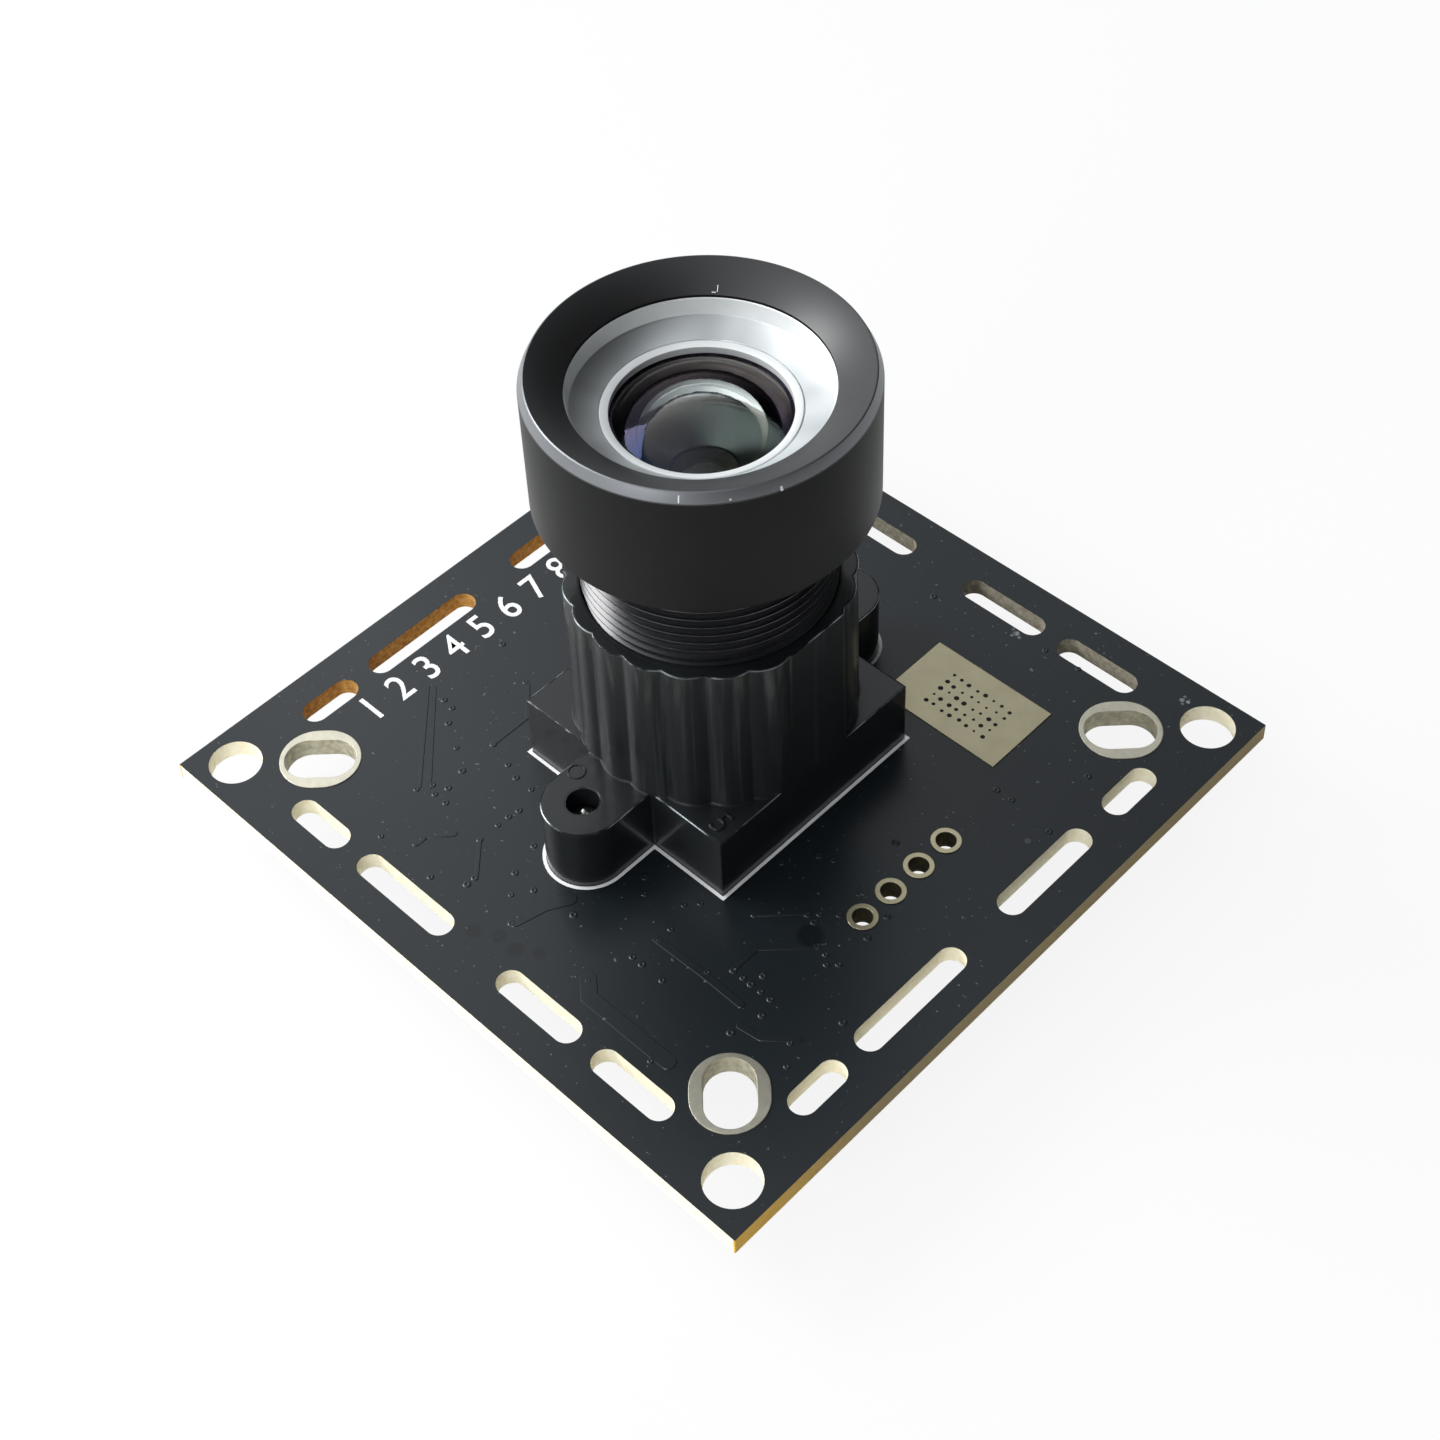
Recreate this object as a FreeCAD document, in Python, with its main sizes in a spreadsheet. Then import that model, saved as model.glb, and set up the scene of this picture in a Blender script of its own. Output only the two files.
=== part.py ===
import FreeCAD, Part
import math
import os
import re

import Sketcher
from FreeCAD import Rotation, Vector

# A board camera: a square circuit board with a snap-off frame, a moulded holder
# screwed to its front, and a threaded lens that is focused by turning it.
# Millimetres. The lens looks along +Z. The back's tallest parts rest on Z = 0.

# Driving dimensions.
SIZES = {
    # Circuit board.
    "board_side": 38.0,
    "board_thickness": 1.0,
    "corner_hole_diameter": 2.7,
    "corner_hole_inset": 2.0,
    # Plated slots in the inner corners, along the board's diagonals.
    "slot_inset": 5.0,
    "slot_length": 3.6,
    "slot_width": 2.4,
    "land_length": 4.1,
    "land_width": 3.65,
    "copper_thickness": 0.05,
    # Routed slots that let the outer frame snap off.
    "break_inset": 2.4,
    "break_width": 1.4,
    "row_first_start": -12.7,
    "row_first_length": 3.7,
    "row_second_start": -7.8,
    "row_second_length": 6.3,
    "row_third_start": 2.0,
    "row_third_length": 5.1,
    "row_fourth_start": 8.2,
    "row_fourth_length": 4.7,
    "column_first_start": -12.8,
    "column_first_length": 3.3,
    "column_second_start": -8.4,
    "column_second_length": 7.05,
    "column_third_start": 1.6,
    "column_third_length": 6.3,
    "column_fourth_start": 9.5,
    "column_fourth_length": 3.4,
    # Plated holes for a four-wire cable.
    "wire_hole_inset": 6.93,
    "wire_hole_pitch": 2.0,
    "wire_hole_diameter": 1.0,
    "wire_land_diameter": 1.5,
    # Bare ground pad over the image processor.
    "pad_length": 7.15,
    "pad_width": 4.55,
    "pad_slot_gap": 6.7,
    # Lens holder.
    "base_side": 13.0,
    "base_height": 3.85,
    "ear_pitch": 18.0,
    "ear_width": 4.0,
    "ear_hole_diameter": 1.6,
    "holder_height": 12.6,
    "lobe_count": 21,
    "lobe_crest_radius": 6.86,
    "lobe_foot_growth": 0.09,
    "lobe_flat_depth": 0.36,
    "lobe_radius": 1.7,
    "first_lobe_angle": -39.6,
    "cavity_side": 11.0,
    "cavity_height": 2.2,
    "filter_seat_side": 8.3,
    "filter_seat_depth": 0.7,
    "light_hole_diameter": 7.2,
    "shelf_thickness": 1.7,
    # Lens barrel and its thread.
    "thread_diameter": 12.0,
    "thread_clearance": 0.05,
    "focus_gap": 1.2,
    "thread_length": 12.2,
    "head_diameter": 15.8,
    "head_height": 6.95,
    "rim_chamfer_height": 0.48,
    "rim_chamfer_width": 0.3,
    "relief_width": 0.5,
    "relief_depth": 0.35,
    "funnel_depth": 0.9,
    "partition_thickness": 0.8,
    "partition_hole_diameter": 7.6,
    "rear_bore_diameter": 8.9,
    "glass_clearance": 0.05,
    # Bright ring in front of the first glass.
    "ring_diameter": 11.9,
    "ring_recess": 0.15,
    "ring_lip": 0.05,
    "ring_wall": 0.17,
    "ring_cup_depth": 0.92,
    "ring_floor_fall": 0.37,
    "ring_height": 1.7,
    "ring_step_radius": 4.45,
    "ring_step_height": 0.05,
    "ring_hole_radius": 4.08,
    "ring_bevel_depth": 0.17,
    # Glasses, from the front to the back.
    "front_glass_diameter": 11.2,
    "front_glass_edge": 2.0,
    "front_dome_radius": 6.5,
    "front_dome_clear": 3.9,
    "front_hollow_radius": 5.0,
    "front_hollow_clear": 3.3,
    "second_glass_edge": 1.4,
    "second_glass_curve": 9.0,
    "stop_thickness": 0.2,
    "stop_hole_diameter": 2.2,
    "stop_clearance": 0.1,
    "front_spacer_height": 1.2,
    "third_glass_edge": 2.8,
    "third_glass_curve": 11.0,
    "rear_spacer_height": 1.8,
    "rear_glass_edge": 2.8,
    "rear_glass_curve": 9.0,
    "glass_clear_radius": 3.7,
    "spacer_wall": 0.7,
    "rear_ring_height": 1.2,
    "rear_ring_hole_diameter": 6.6,
    "spanner_slot_width": 0.8,
    "spanner_slot_depth": 0.5,
    # Filter and image sensor.
    "filter_side": 8.0,
    "filter_thickness": 0.55,
    "sensor_length": 7.6,
    "sensor_width": 7.0,
    "sensor_height": 0.7,
    "sensor_wall": 0.5,
    "sensor_floor": 0.3,
    "die_margin": 0.4,
    "die_thickness": 0.2,
    "cover_glass_thickness": 0.4,
    "cover_glass_margin": 0.1,
    # Screws that hold the lens holder from the back.
    "screw_diameter": 1.5,
    "screw_hole_diameter": 1.8,
    "screw_head_diameter": 3.0,
    "screw_head_rim": 0.5,
    "screw_head_dome": 2.2,
    "screw_grip": 3.3,
    "screw_point": 0.7,
    "recess_width": 0.4,
    "recess_length": 1.7,
    "recess_depth": 0.6,
    # Wire connector on the back.
    "connector_height": 3.5,
    "connector_depth": 4.6,
    "connector_width": 7.6,
    "connector_wall": 0.65,
    "connector_inset": 3.3,
    "socket_depth": 3.4,
    "contact_pitch": 1.25,
    "contact_width": 0.32,
    "contact_reach": 2.4,
    "contact_tail": 1.1,
    "contact_foot": 0.3,
    "key_width": 1.2,
    "key_depth": 0.35,
    "tab_length": 1.8,
    "tab_width": 0.9,
    "tab_thickness": 0.3,
    # Crystal on the back.
    "crystal_wire_gap": 5.07,
    "crystal_up": -3.0,
    "crystal_length": 11.2,
    "crystal_width": 4.7,
    "crystal_height": 3.5,
    "crystal_base_thickness": 0.5,
    "crystal_base_margin": 0.3,
    "crystal_lead_width": 0.6,
    "crystal_lead_reach": 0.9,
    "crystal_lead_thickness": 0.2,
    # Processor and memory.
    "processor_side": 7.0,
    "processor_height": 0.9,
    "dimple_diameter": 0.6,
    "dimple_depth": 0.1,
    "dimple_inset": 1.0,
    "memory_inset_left": 12.8,
    "memory_inset_back": 8.4,
    "memory_length": 4.9,
    "memory_width": 3.9,
    "memory_height": 1.5,
    "memory_pitch": 1.27,
    "regulator_length": 2.9,
    "regulator_width": 1.6,
    "regulator_height": 1.1,
    "regulator_pitch": 0.95,
    "regulator_coil_gap": 3.6,
    "first_regulator_shift": 3.0,
    "second_regulator_shift": -1.6,
    "lead_width": 0.4,
    "lead_thickness": 0.18,
    "lead_reach": 1.0,
    "lead_foot": 0.45,
    "chip_standoff": 0.1,
    # Coil and small parts.
    "coil_side": 3.0,
    "coil_height": 1.5,
    "coil_inset_left": 10.4,
    "coil_inset_front": 5.8,
    "coil_corner": 0.4,
    "small_part_length": 1.6,
    "small_part_width": 0.8,
    "capacitor_height": 0.8,
    "resistor_height": 0.45,
    "small_part_pitch": 1.7,
    "capacitor_row_right": -3.4,
    "capacitor_row_up": -4.25,
    "resistor_row_right": 1.4,
    "resistor_row_up": -4.25,
}

# Levels and widths that follow from the driving dimensions.
DERIVED = {
    "board_low": "max(connector_height; crystal_height)",
    "board_top": "board_low + board_thickness",
    "half_board": "board_side / 2",
    "break_line": "half_board - break_inset",
    "base_top": "board_top + base_height",
    "holder_top": "board_top + holder_height",
    "filter_top": "board_top + cavity_height + filter_seat_depth",
    "shelf_top": "filter_top + shelf_thickness",
    "barrel_low": "shelf_top + focus_gap",
    "head_low": "barrel_low + thread_length",
    "head_top": "head_low + head_height",
    "bore_radius": "thread_diameter / 2 + thread_clearance",
    "funnel_low": "head_top - funnel_depth",
    "ring_top": "funnel_low - ring_recess",
    "ring_low": "ring_top - ring_height",
    "front_glass_low": "ring_low - front_glass_edge",
    "partition_low": "front_glass_low - partition_thickness",
    "front_glass_radius": "front_glass_diameter / 2",
    "rear_bore_radius": "rear_bore_diameter / 2",
    "rear_glass_radius": "rear_bore_radius - glass_clearance",
    "second_low": "partition_low - second_glass_edge",
    "stop_low": "second_low - stop_thickness",
    "front_spacer_low": "stop_low - front_spacer_height",
    "third_low": "front_spacer_low - third_glass_edge",
    "rear_spacer_low": "third_low - rear_spacer_height",
    "rear_glass_low": "rear_spacer_low - rear_glass_edge",
    "rear_ring_low": "rear_glass_low - rear_ring_height",
    "connector_mouth": "half_board - connector_inset",
    "connector_back": "connector_mouth - connector_depth",
    "processor_right": "half_board - slot_inset - pad_slot_gap",
    "processor_up": "(base_side / 2 + half_board - slot_inset) / 2",
    "crystal_right": "half_board - wire_hole_inset - crystal_wire_gap",
    "memory_right": "memory_inset_left - half_board",
    "memory_up": "half_board - memory_inset_back",
    "coil_right": "coil_inset_left - half_board",
    "coil_up": "coil_inset_front - half_board",
    "first_regulator_right": "coil_right + first_regulator_shift",
    "second_regulator_right": "coil_right + second_regulator_shift",
    "regulator_up": "coil_up + regulator_coil_gap",
    "lobe_circle": "lobe_crest_radius - lobe_radius",
    "lobe_flat": "lobe_crest_radius - lobe_flat_depth",
}

# The board's copper and the small parts sit on these two faces.
CORNERS = {"front_right": (1, -1), "back_right": (1, 1), "back_left": (-1, 1), "front_left": (-1, -1)}
BREAKS = ("first", "second", "third", "fourth")
# Four places in a row, in pitches from the row's middle.
FOUR_STEPS = (-1.5, -0.5, 0.5, 1.5)

DOC = FreeCAD.newDocument("camera_module")
SHEET = DOC.addObject("Spreadsheet::Sheet", "sizes")
for row, (size_name, size) in enumerate(SIZES.items(), start=1):
    SHEET.set(f"A{row}", size_name)
    SHEET.set(f"B{row}", str(size))
    SHEET.setAlias(f"B{row}", size_name)
READER = DOC.addObject("App::FeaturePython", "reader")
DOC.recompute()

NODES = {}


def bound(formula):
    """Turn a formula of size names into one that reads the sheet."""
    def replace(match):
        word = match.group(0)
        if word in DERIVED:
            return "(" + bound(DERIVED[word]) + ")"
        return "sizes." + word if word in SIZES else word
    return re.sub(r"[a-z][a-z_]+", replace, str(formula))


def value(formula):
    """Read a formula as a number."""
    return float(READER.evalExpression(bound(formula)))


def bind(thing, **formulas):
    """Bind properties of an object to formulas; two underscores stand for a dot."""
    for name, formula in formulas.items():
        thing.setExpression(name.replace("__", "."), bound(formula))


def place(thing, right="0", up="0", low="0", turn="0"):
    """Put an object at a point of the board, turned about the vertical."""
    thing.Placement.Rotation = Rotation(Vector(0, 0, 1), 1)
    bind(thing, Placement__Base__x=right, Placement__Base__y=up, Placement__Base__z=low)
    bind(thing, Placement__Rotation__Angle=turn)


def keep(label, thing):
    """Name a finished piece."""
    thing.Label = label
    NODES[label] = thing
    return thing


class Drawing:
    """A sketch whose points are all set by formulas of the sheet."""

    def __init__(self, body, name, plane="XY_Plane", level="0"):
        self.sketch = body.newObject("Sketcher::SketchObject", name)
        support = next(item for item in body.Origin.OriginFeatures if item.Role == plane)
        self.sketch.AttachmentSupport = [(support, "")]
        self.sketch.MapMode = "FlatFace"
        self.sketch.setExpression("AttachmentOffset.Base.z", bound(level))
        self.count = 0

    def size(self, kind, formula, *where):
        """Add a constraint that reads a formula."""
        index = self.sketch.addConstraint(Sketcher.Constraint(kind, *where, value(formula)))
        self.count += 1
        name = f"{kind}_{self.count}"
        self.sketch.renameConstraint(index, name)
        self.sketch.setExpression("Constraints." + name, bound(formula))

    def pin(self, curve, point, right, up):
        """Fix one point of a curve."""
        for axis, kind, formula in ((-2, "DistanceX", right), (-1, "DistanceY", up)):
            if formula == "0":
                self.sketch.addConstraint(Sketcher.Constraint("PointOnObject", curve, point, axis))
            else:
                self.size(kind, formula, -1, 1, curve, point)

    def circle(self, right, up, diameter):
        """Draw a circle."""
        centre = Vector(value(right), value(up), 0)
        curve = self.sketch.addGeometry(Part.Circle(centre, Vector(0, 0, 1), value(diameter) / 2))
        self.pin(curve, 3, right, up)
        self.size("Diameter", diameter, curve)

    def slot(self, start, end, width):
        """Draw a full-round slot between two arc centres."""
        first = Vector(value(start[0]), value(start[1]), 0)
        last = Vector(value(end[0]), value(end[1]), 0)
        along = (last - first).normalize()
        side = Vector(-along.y, along.x, 0) * (value(width) / 2)
        heading = math.atan2(along.y, along.x)
        quarter = math.pi / 2
        radius = value(width) / 2
        start_circle = Part.Circle(first, Vector(0, 0, 1), radius)
        end_circle = Part.Circle(last, Vector(0, 0, 1), radius)
        start_arc = Part.ArcOfCircle(start_circle, heading + quarter, heading + 3 * quarter)
        end_arc = Part.ArcOfCircle(end_circle, heading - quarter, heading + quarter)
        arc_a = self.sketch.addGeometry(start_arc)
        line_a = self.sketch.addGeometry(Part.LineSegment(first - side, last - side))
        arc_b = self.sketch.addGeometry(end_arc)
        line_b = self.sketch.addGeometry(Part.LineSegment(last + side, first + side))
        for before, after in ((arc_a, line_a), (line_a, arc_b), (arc_b, line_b), (line_b, arc_a)):
            self.sketch.addConstraint(Sketcher.Constraint("Tangent", before, 2, after, 1))
        self.sketch.addConstraint(Sketcher.Constraint("Equal", arc_a, arc_b))
        self.pin(arc_a, 3, *start)
        self.pin(arc_b, 3, *end)
        self.size("Radius", f"({width}) / 2", arc_a)

    def outline(self, corners):
        """Draw a closed outline. A corner is (right, up) or (right, up, radius of the next edge).

        A positive radius turns left of the way to the next corner, a negative one right.
        """
        spots = [Vector(value(corner[0]), value(corner[1]), 0) for corner in corners]
        edges = []
        for number, corner in enumerate(corners):
            here = spots[number]
            there = spots[(number + 1) % len(corners)]
            if len(corner) == 2:
                curve = self.sketch.addGeometry(Part.LineSegment(here, there))
                edges.append((curve, 1, 2))
                continue
            radius = value(corner[2])
            half = (there - here) / 2
            rise = math.sqrt(max(radius * radius - half.Length ** 2, 0.0))
            normal = Vector(-half.y, half.x, 0).normalize()
            centre = here + half + normal * (rise if radius > 0 else -rise)
            circle = Part.Circle(centre, Vector(0, 0, 1), abs(radius))
            start = math.atan2(here.y - centre.y, here.x - centre.x)
            end = math.atan2(there.y - centre.y, there.x - centre.x)
            ends = (1, 2)
            if radius < 0:
                start, end = end, start
                ends = (2, 1)
            curve = self.sketch.addGeometry(Part.ArcOfCircle(circle, start, end))
            edges.append((curve, *ends))
        for number, corner in enumerate(corners):
            curve, start, _ = edges[number]
            last_curve, _, last_end = edges[number - 1]
            self.sketch.addConstraint(Sketcher.Constraint("Coincident", last_curve, last_end, curve, start))
            self.pin(curve, start, corner[0], corner[1])
            if len(corner) == 3:
                self.size("Radius", f"abs({corner[2]})", curve)

    def rectangle(self, left, front, right, back):
        """Draw an upright rectangle."""
        self.outline([(left, front), (right, front), (right, back), (left, back)])


def new_body(name, separate=False):
    """Start a body; a separate one may hold solids that don't touch."""
    body = DOC.addObject("PartDesign::Body", name)
    body.AllowCompound = separate
    return body


def pad(body, name, drawing, height):
    """Raise a drawing by a height."""
    feature = body.newObject("PartDesign::Pad", name)
    feature.Profile = drawing.sketch
    bind(feature, Length=height)
    DOC.recompute()
    return feature


def pocket(body, name, drawing, depth, upward=False):
    """Cut a drawing down by a depth, or up from it."""
    before = body.Shape.Volume
    feature = body.newObject("PartDesign::Pocket", name)
    feature.Profile = drawing.sketch
    feature.Reversed = upward
    bind(feature, Length=depth)
    DOC.recompute()
    if body.Shape.Volume > before - 1e-6:
        raise RuntimeError(f"{body.Name}: {name} cuts nothing")
    return feature


def turned(label, corners):
    """Make a turned piece from half of its section, given as (radius, level)."""
    body = new_body(label)
    drawing = Drawing(body, label + "_section", "XZ_Plane")
    drawing.outline(corners)
    feature = body.newObject("PartDesign::Revolution", label + "_turning")
    feature.Profile = drawing.sketch
    feature.ReferenceAxis = (drawing.sketch, ["V_Axis"])
    feature.Angle = 360.0
    DOC.recompute()
    return body


def block(name, right, up, low, length, width, height):
    """Make a block centred on a point of the board, on a level."""
    piece = DOC.addObject("Part::Box", name)
    bind(piece, Length=length, Width=width, Height=height)
    place(piece, f"({right}) - ({length}) / 2", f"({up}) - ({width}) / 2", low)
    return piece


def cylinder(name, right, up, low, diameter, height):
    """Make an upright round bar."""
    piece = DOC.addObject("Part::Cylinder", name)
    bind(piece, Radius=f"({diameter}) / 2", Height=height)
    place(piece, right, up, low)
    return piece


def cut(name, base, tool):
    """Take one piece out of another."""
    piece = DOC.addObject("Part::Cut", name)
    piece.Base = base
    piece.Tool = tool
    return piece


def group(name, pieces):
    """Gather separate solids of one kind in a node."""
    gathered = DOC.addObject("Part::Compound", name)
    gathered.Links = pieces
    return gathered


def copy_of(name, thing, right="0", up="0", low="0", turn="0"):
    """Repeat a piece at another place."""
    link = DOC.addObject("App::Link", name)
    link.LinkedObject = thing
    link.LinkTransform = False
    place(link, right, up, low, turn)
    return link


# Circuit board


def diagonal_slot(drawing, right_sign, up_sign, growth):
    """Draw a slot that lies along the board's diagonal in one corner."""
    half_run = "(slot_length - slot_width) / 2 / sqrt(2)"
    centre = "(half_board - slot_inset)"
    near = (f"{right_sign} * ({centre} - {half_run})", f"{up_sign} * ({centre} - {half_run})")
    far = (f"{right_sign} * ({centre} + {half_run})", f"{up_sign} * ({centre} + {half_run})")
    drawing.slot(near, far, f"slot_width + 2 * {growth}")


def mirrored(body, name, feature, plane):
    """Repeat a cut on the other side of one of the body's planes."""
    mirror = body.newObject("PartDesign::Mirrored", name)
    mirror.Originals = [feature]
    mirror.MirrorPlane = (next(item for item in body.Origin.OriginFeatures if item.Role == plane), [""])
    body.Tip = mirror
    DOC.recompute()


def make_board():
    """Build the laminate with its holes and routed slots."""
    body = new_body("circuit_board")
    blank = Drawing(body, "board_blank", level="board_low")
    blank.rectangle("-half_board", "-half_board", "half_board", "half_board")
    pad(body, "board_plate", blank, "board_thickness")

    holes = Drawing(body, "board_holes", level="board_low")
    for right_sign, up_sign in CORNERS.values():
        inset = "(half_board - corner_hole_inset)"
        holes.circle(f"{right_sign} * {inset}", f"{up_sign} * {inset}", "corner_hole_diameter")
        diagonal_slot(holes, right_sign, up_sign, "copper_thickness")
    for step in FOUR_STEPS:
        bored = "wire_hole_diameter + 2 * copper_thickness"
        holes.circle("half_board - wire_hole_inset", f"{step} * wire_hole_pitch", bored)
    for up_sign in (-1, 1):
        holes.circle("0", f"{up_sign} * ear_pitch / 2", "screw_hole_diameter")
    pocket(body, "board_drilling", holes, "board_thickness", upward=True)

    for side, plane in (("row", "XZ_Plane"), ("column", "YZ_Plane")):
        breaks = Drawing(body, f"{side}_breaks", level="board_low")
        for name in BREAKS:
            near = f"{side}_{name}_start + break_width / 2"
            far = f"{side}_{name}_start + {side}_{name}_length - break_width / 2"
            if side == "row":
                breaks.slot((near, "-break_line"), (far, "-break_line"), "break_width")
            else:
                breaks.slot(("break_line", near), ("break_line", far), "break_width")
        routed = pocket(body, f"{side}_routing", breaks, "board_thickness", upward=True)
        mirrored(body, f"{side}_routing_opposite", routed, plane)
    return keep("circuit_board", body)


def make_slot_plating(corner, right_sign, up_sign):
    """Build the copper of one plated slot: a sleeve with a land on each face."""
    label = f"slot_plating_{corner}"
    body = new_body(label)
    half_run = "(slot_length - slot_width) / 2"
    land_run = "(land_length - land_width) / 2"
    sleeve = Drawing(body, label + "_sleeve", level="board_low")
    sleeve.slot(("-" + half_run, "0"), (half_run, "0"), "slot_width + 2 * copper_thickness")
    pad(body, label + "_core", sleeve, "board_thickness")
    for name, level in (("low", "board_low - copper_thickness"), ("top", "board_top")):
        land = Drawing(body, f"{label}_{name}", level=level)
        land.slot(("-" + land_run, "0"), (land_run, "0"), "land_width")
        pad(body, f"{label}_{name}_land", land, "copper_thickness")
    opening = Drawing(body, label + "_opening", level="board_low - copper_thickness")
    opening.slot(("-" + half_run, "0"), (half_run, "0"), "slot_width")
    pocket(body, label + "_hole", opening, "board_thickness + 2 * copper_thickness", upward=True)
    centre = "(half_board - slot_inset)"
    place(body, f"{right_sign} * {centre}", f"{up_sign} * {centre}", "0", str(45 * right_sign * up_sign))
    return keep(label, body)


def make_wire_plating(number, step):
    """Build the copper of one wire hole."""
    label = f"wire_hole_plating_{number}"
    hole = "wire_hole_diameter / 2"
    sleeve = hole + " + copper_thickness"
    land = "wire_land_diameter / 2"
    low = "board_low - copper_thickness"
    top = "board_top + copper_thickness"
    body = turned(label, [
        (hole, low), (land, low), (land, "board_low"), (sleeve, "board_low"),
        (sleeve, "board_top"), (land, "board_top"), (land, top), (hole, top),
    ])
    place(body, "half_board - wire_hole_inset", f"{step} * wire_hole_pitch")
    return keep(label, body)


# Lens holder


def make_holder():
    """Build the moulded holder: base with two ears, and a barrel of drafted lobes."""
    body = new_body("lens_holder")
    square = Drawing(body, "holder_square", level="board_top")
    square.rectangle("-base_side / 2", "-base_side / 2", "base_side / 2", "base_side / 2")
    pad(body, "holder_base", square, "base_height")
    ears = Drawing(body, "holder_ear_outline", level="board_top")
    ears.slot(("0", "-ear_pitch / 2"), ("0", "ear_pitch / 2"), "ear_width")
    pad(body, "holder_ears", ears, "base_height")

    core = Drawing(body, "holder_core_outline", level="base_top")
    core.circle("0", "0", "2 * lobe_circle")
    pad(body, "holder_core", core, "holder_height - base_height")

    lobe = body.newObject("PartDesign::AdditiveCone", "holder_lobe")
    lobe.AttachmentSupport = [(next(i for i in body.Origin.OriginFeatures if i.Role == "XY_Plane"), "")]
    lobe.MapMode = "FlatFace"
    bind(
        lobe,
        Radius1="lobe_radius + lobe_foot_growth",
        Radius2="lobe_radius",
        Height="holder_height - base_height",
        AttachmentOffset__Base__x="lobe_circle * cos(first_lobe_angle)",
        AttachmentOffset__Base__y="lobe_circle * sin(first_lobe_angle)",
        AttachmentOffset__Base__z="base_top",
    )
    DOC.recompute()
    ring = body.newObject("PartDesign::PolarPattern", "holder_lobes")
    ring.Originals = [lobe]
    ring.Axis = (next(i for i in body.Origin.OriginFeatures if i.Role == "Z_Axis"), [""])
    ring.Angle = 360.0
    bind(ring, Occurrences="lobe_count")
    body.Tip = ring
    DOC.recompute()

    # The outermost lobes are cut flat at the left and right, flush with the base.
    flats = Drawing(body, "holder_flat_outline", level="holder_top")
    flats.rectangle("lobe_flat", "-lobe_crest_radius", "2 * lobe_crest_radius", "lobe_crest_radius")
    flats.rectangle("-2 * lobe_crest_radius", "-lobe_crest_radius", "-lobe_flat", "lobe_crest_radius")
    pocket(body, "holder_flats", flats, "holder_height - base_height")

    bore = Drawing(body, "holder_bore_outline", level="holder_top")
    bore.circle("0", "0", "2 * bore_radius")
    pocket(body, "holder_bore", bore, "holder_top - shelf_top")
    light = Drawing(body, "holder_light_outline", level="shelf_top")
    light.circle("0", "0", "light_hole_diameter")
    pocket(body, "holder_light_hole", light, "shelf_top - board_top")
    cavity = Drawing(body, "holder_cavity_outline", level="board_top")
    cavity.rectangle("-cavity_side / 2", "-cavity_side / 2", "cavity_side / 2", "cavity_side / 2")
    pocket(body, "holder_cavity", cavity, "cavity_height", upward=True)
    seat = Drawing(body, "holder_seat_outline", level="board_top")
    half_seat = "filter_seat_side / 2"
    seat.rectangle("-" + half_seat, "-" + half_seat, half_seat, half_seat)
    pocket(body, "holder_filter_seat", seat, "cavity_height + filter_seat_depth", upward=True)
    screws = Drawing(body, "holder_screw_outline", level="board_top")
    for sign in (-1, 1):
        screws.circle("0", f"{sign} * ear_pitch / 2", "ear_hole_diameter")
    pocket(body, "holder_screw_holes", screws, "base_height", upward=True)
    return keep("lens_holder", body)


def make_screws():
    """Build the two self-tapping screws, driven from the back into the ears."""
    head = "screw_head_diameter / 2"
    shank = "screw_diameter / 2"
    dome_rise = f"(screw_head_dome - sqrt(screw_head_dome ^ 2 - ({head}) ^ 2))"
    rim = "board_low - screw_head_rim"
    tip = "board_top + screw_grip"
    body = turned("holder_screw", [
        ("0", f"{rim} - {dome_rise}", "screw_head_dome"), (head, rim), (head, "board_low"),
        (shank, "board_low"), (shank, f"{tip} - screw_point"), ("0", tip),
    ])
    for name, length, width in (
        ("along", "recess_length", "recess_width"),
        ("across", "recess_width", "recess_length"),
    ):
        recess = Drawing(body, f"screw_recess_{name}", level=f"{rim} - {dome_rise}")
        recess.rectangle(f"-{length} / 2", f"-{width} / 2", f"{length} / 2", f"{width} / 2")
        pocket(body, f"screw_drive_{name}", recess, "recess_depth", upward=True)
    copies = [
        copy_of("screw_front", body, up="-ear_pitch / 2"),
        copy_of("screw_back", body, up="ear_pitch / 2"),
    ]
    return keep("holder_screws", group("holder_screw_pair", copies))


# Lens


def make_barrel():
    """Build the lens barrel: a threaded tube under a wide head with a funnel front."""
    thread = "thread_diameter / 2"
    head = "head_diameter / 2"
    rear = "rear_bore_radius"
    funnel = "head_diameter / 2 - rim_chamfer_width"
    ring_bore = "ring_diameter / 2"
    front_bore = "front_glass_radius + glass_clearance"
    hole = "partition_hole_diameter / 2"
    body = turned("lens_barrel", [
        (rear, "barrel_low"), (thread, "barrel_low"),
        (thread, "head_low - relief_width"), (f"{thread} - relief_depth", "head_low - relief_width"),
        (f"{thread} - relief_depth", "head_low"), (head, "head_low"),
        (head, "head_top - rim_chamfer_height"), (funnel, "head_top"),
        (ring_bore, "funnel_low"), (ring_bore, "ring_low"),
        (front_bore, "ring_low"), (front_bore, "front_glass_low"),
        (hole, "front_glass_low"), (hole, "partition_low"), (rear, "partition_low"),
    ])
    return keep("lens_barrel", body)


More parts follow.
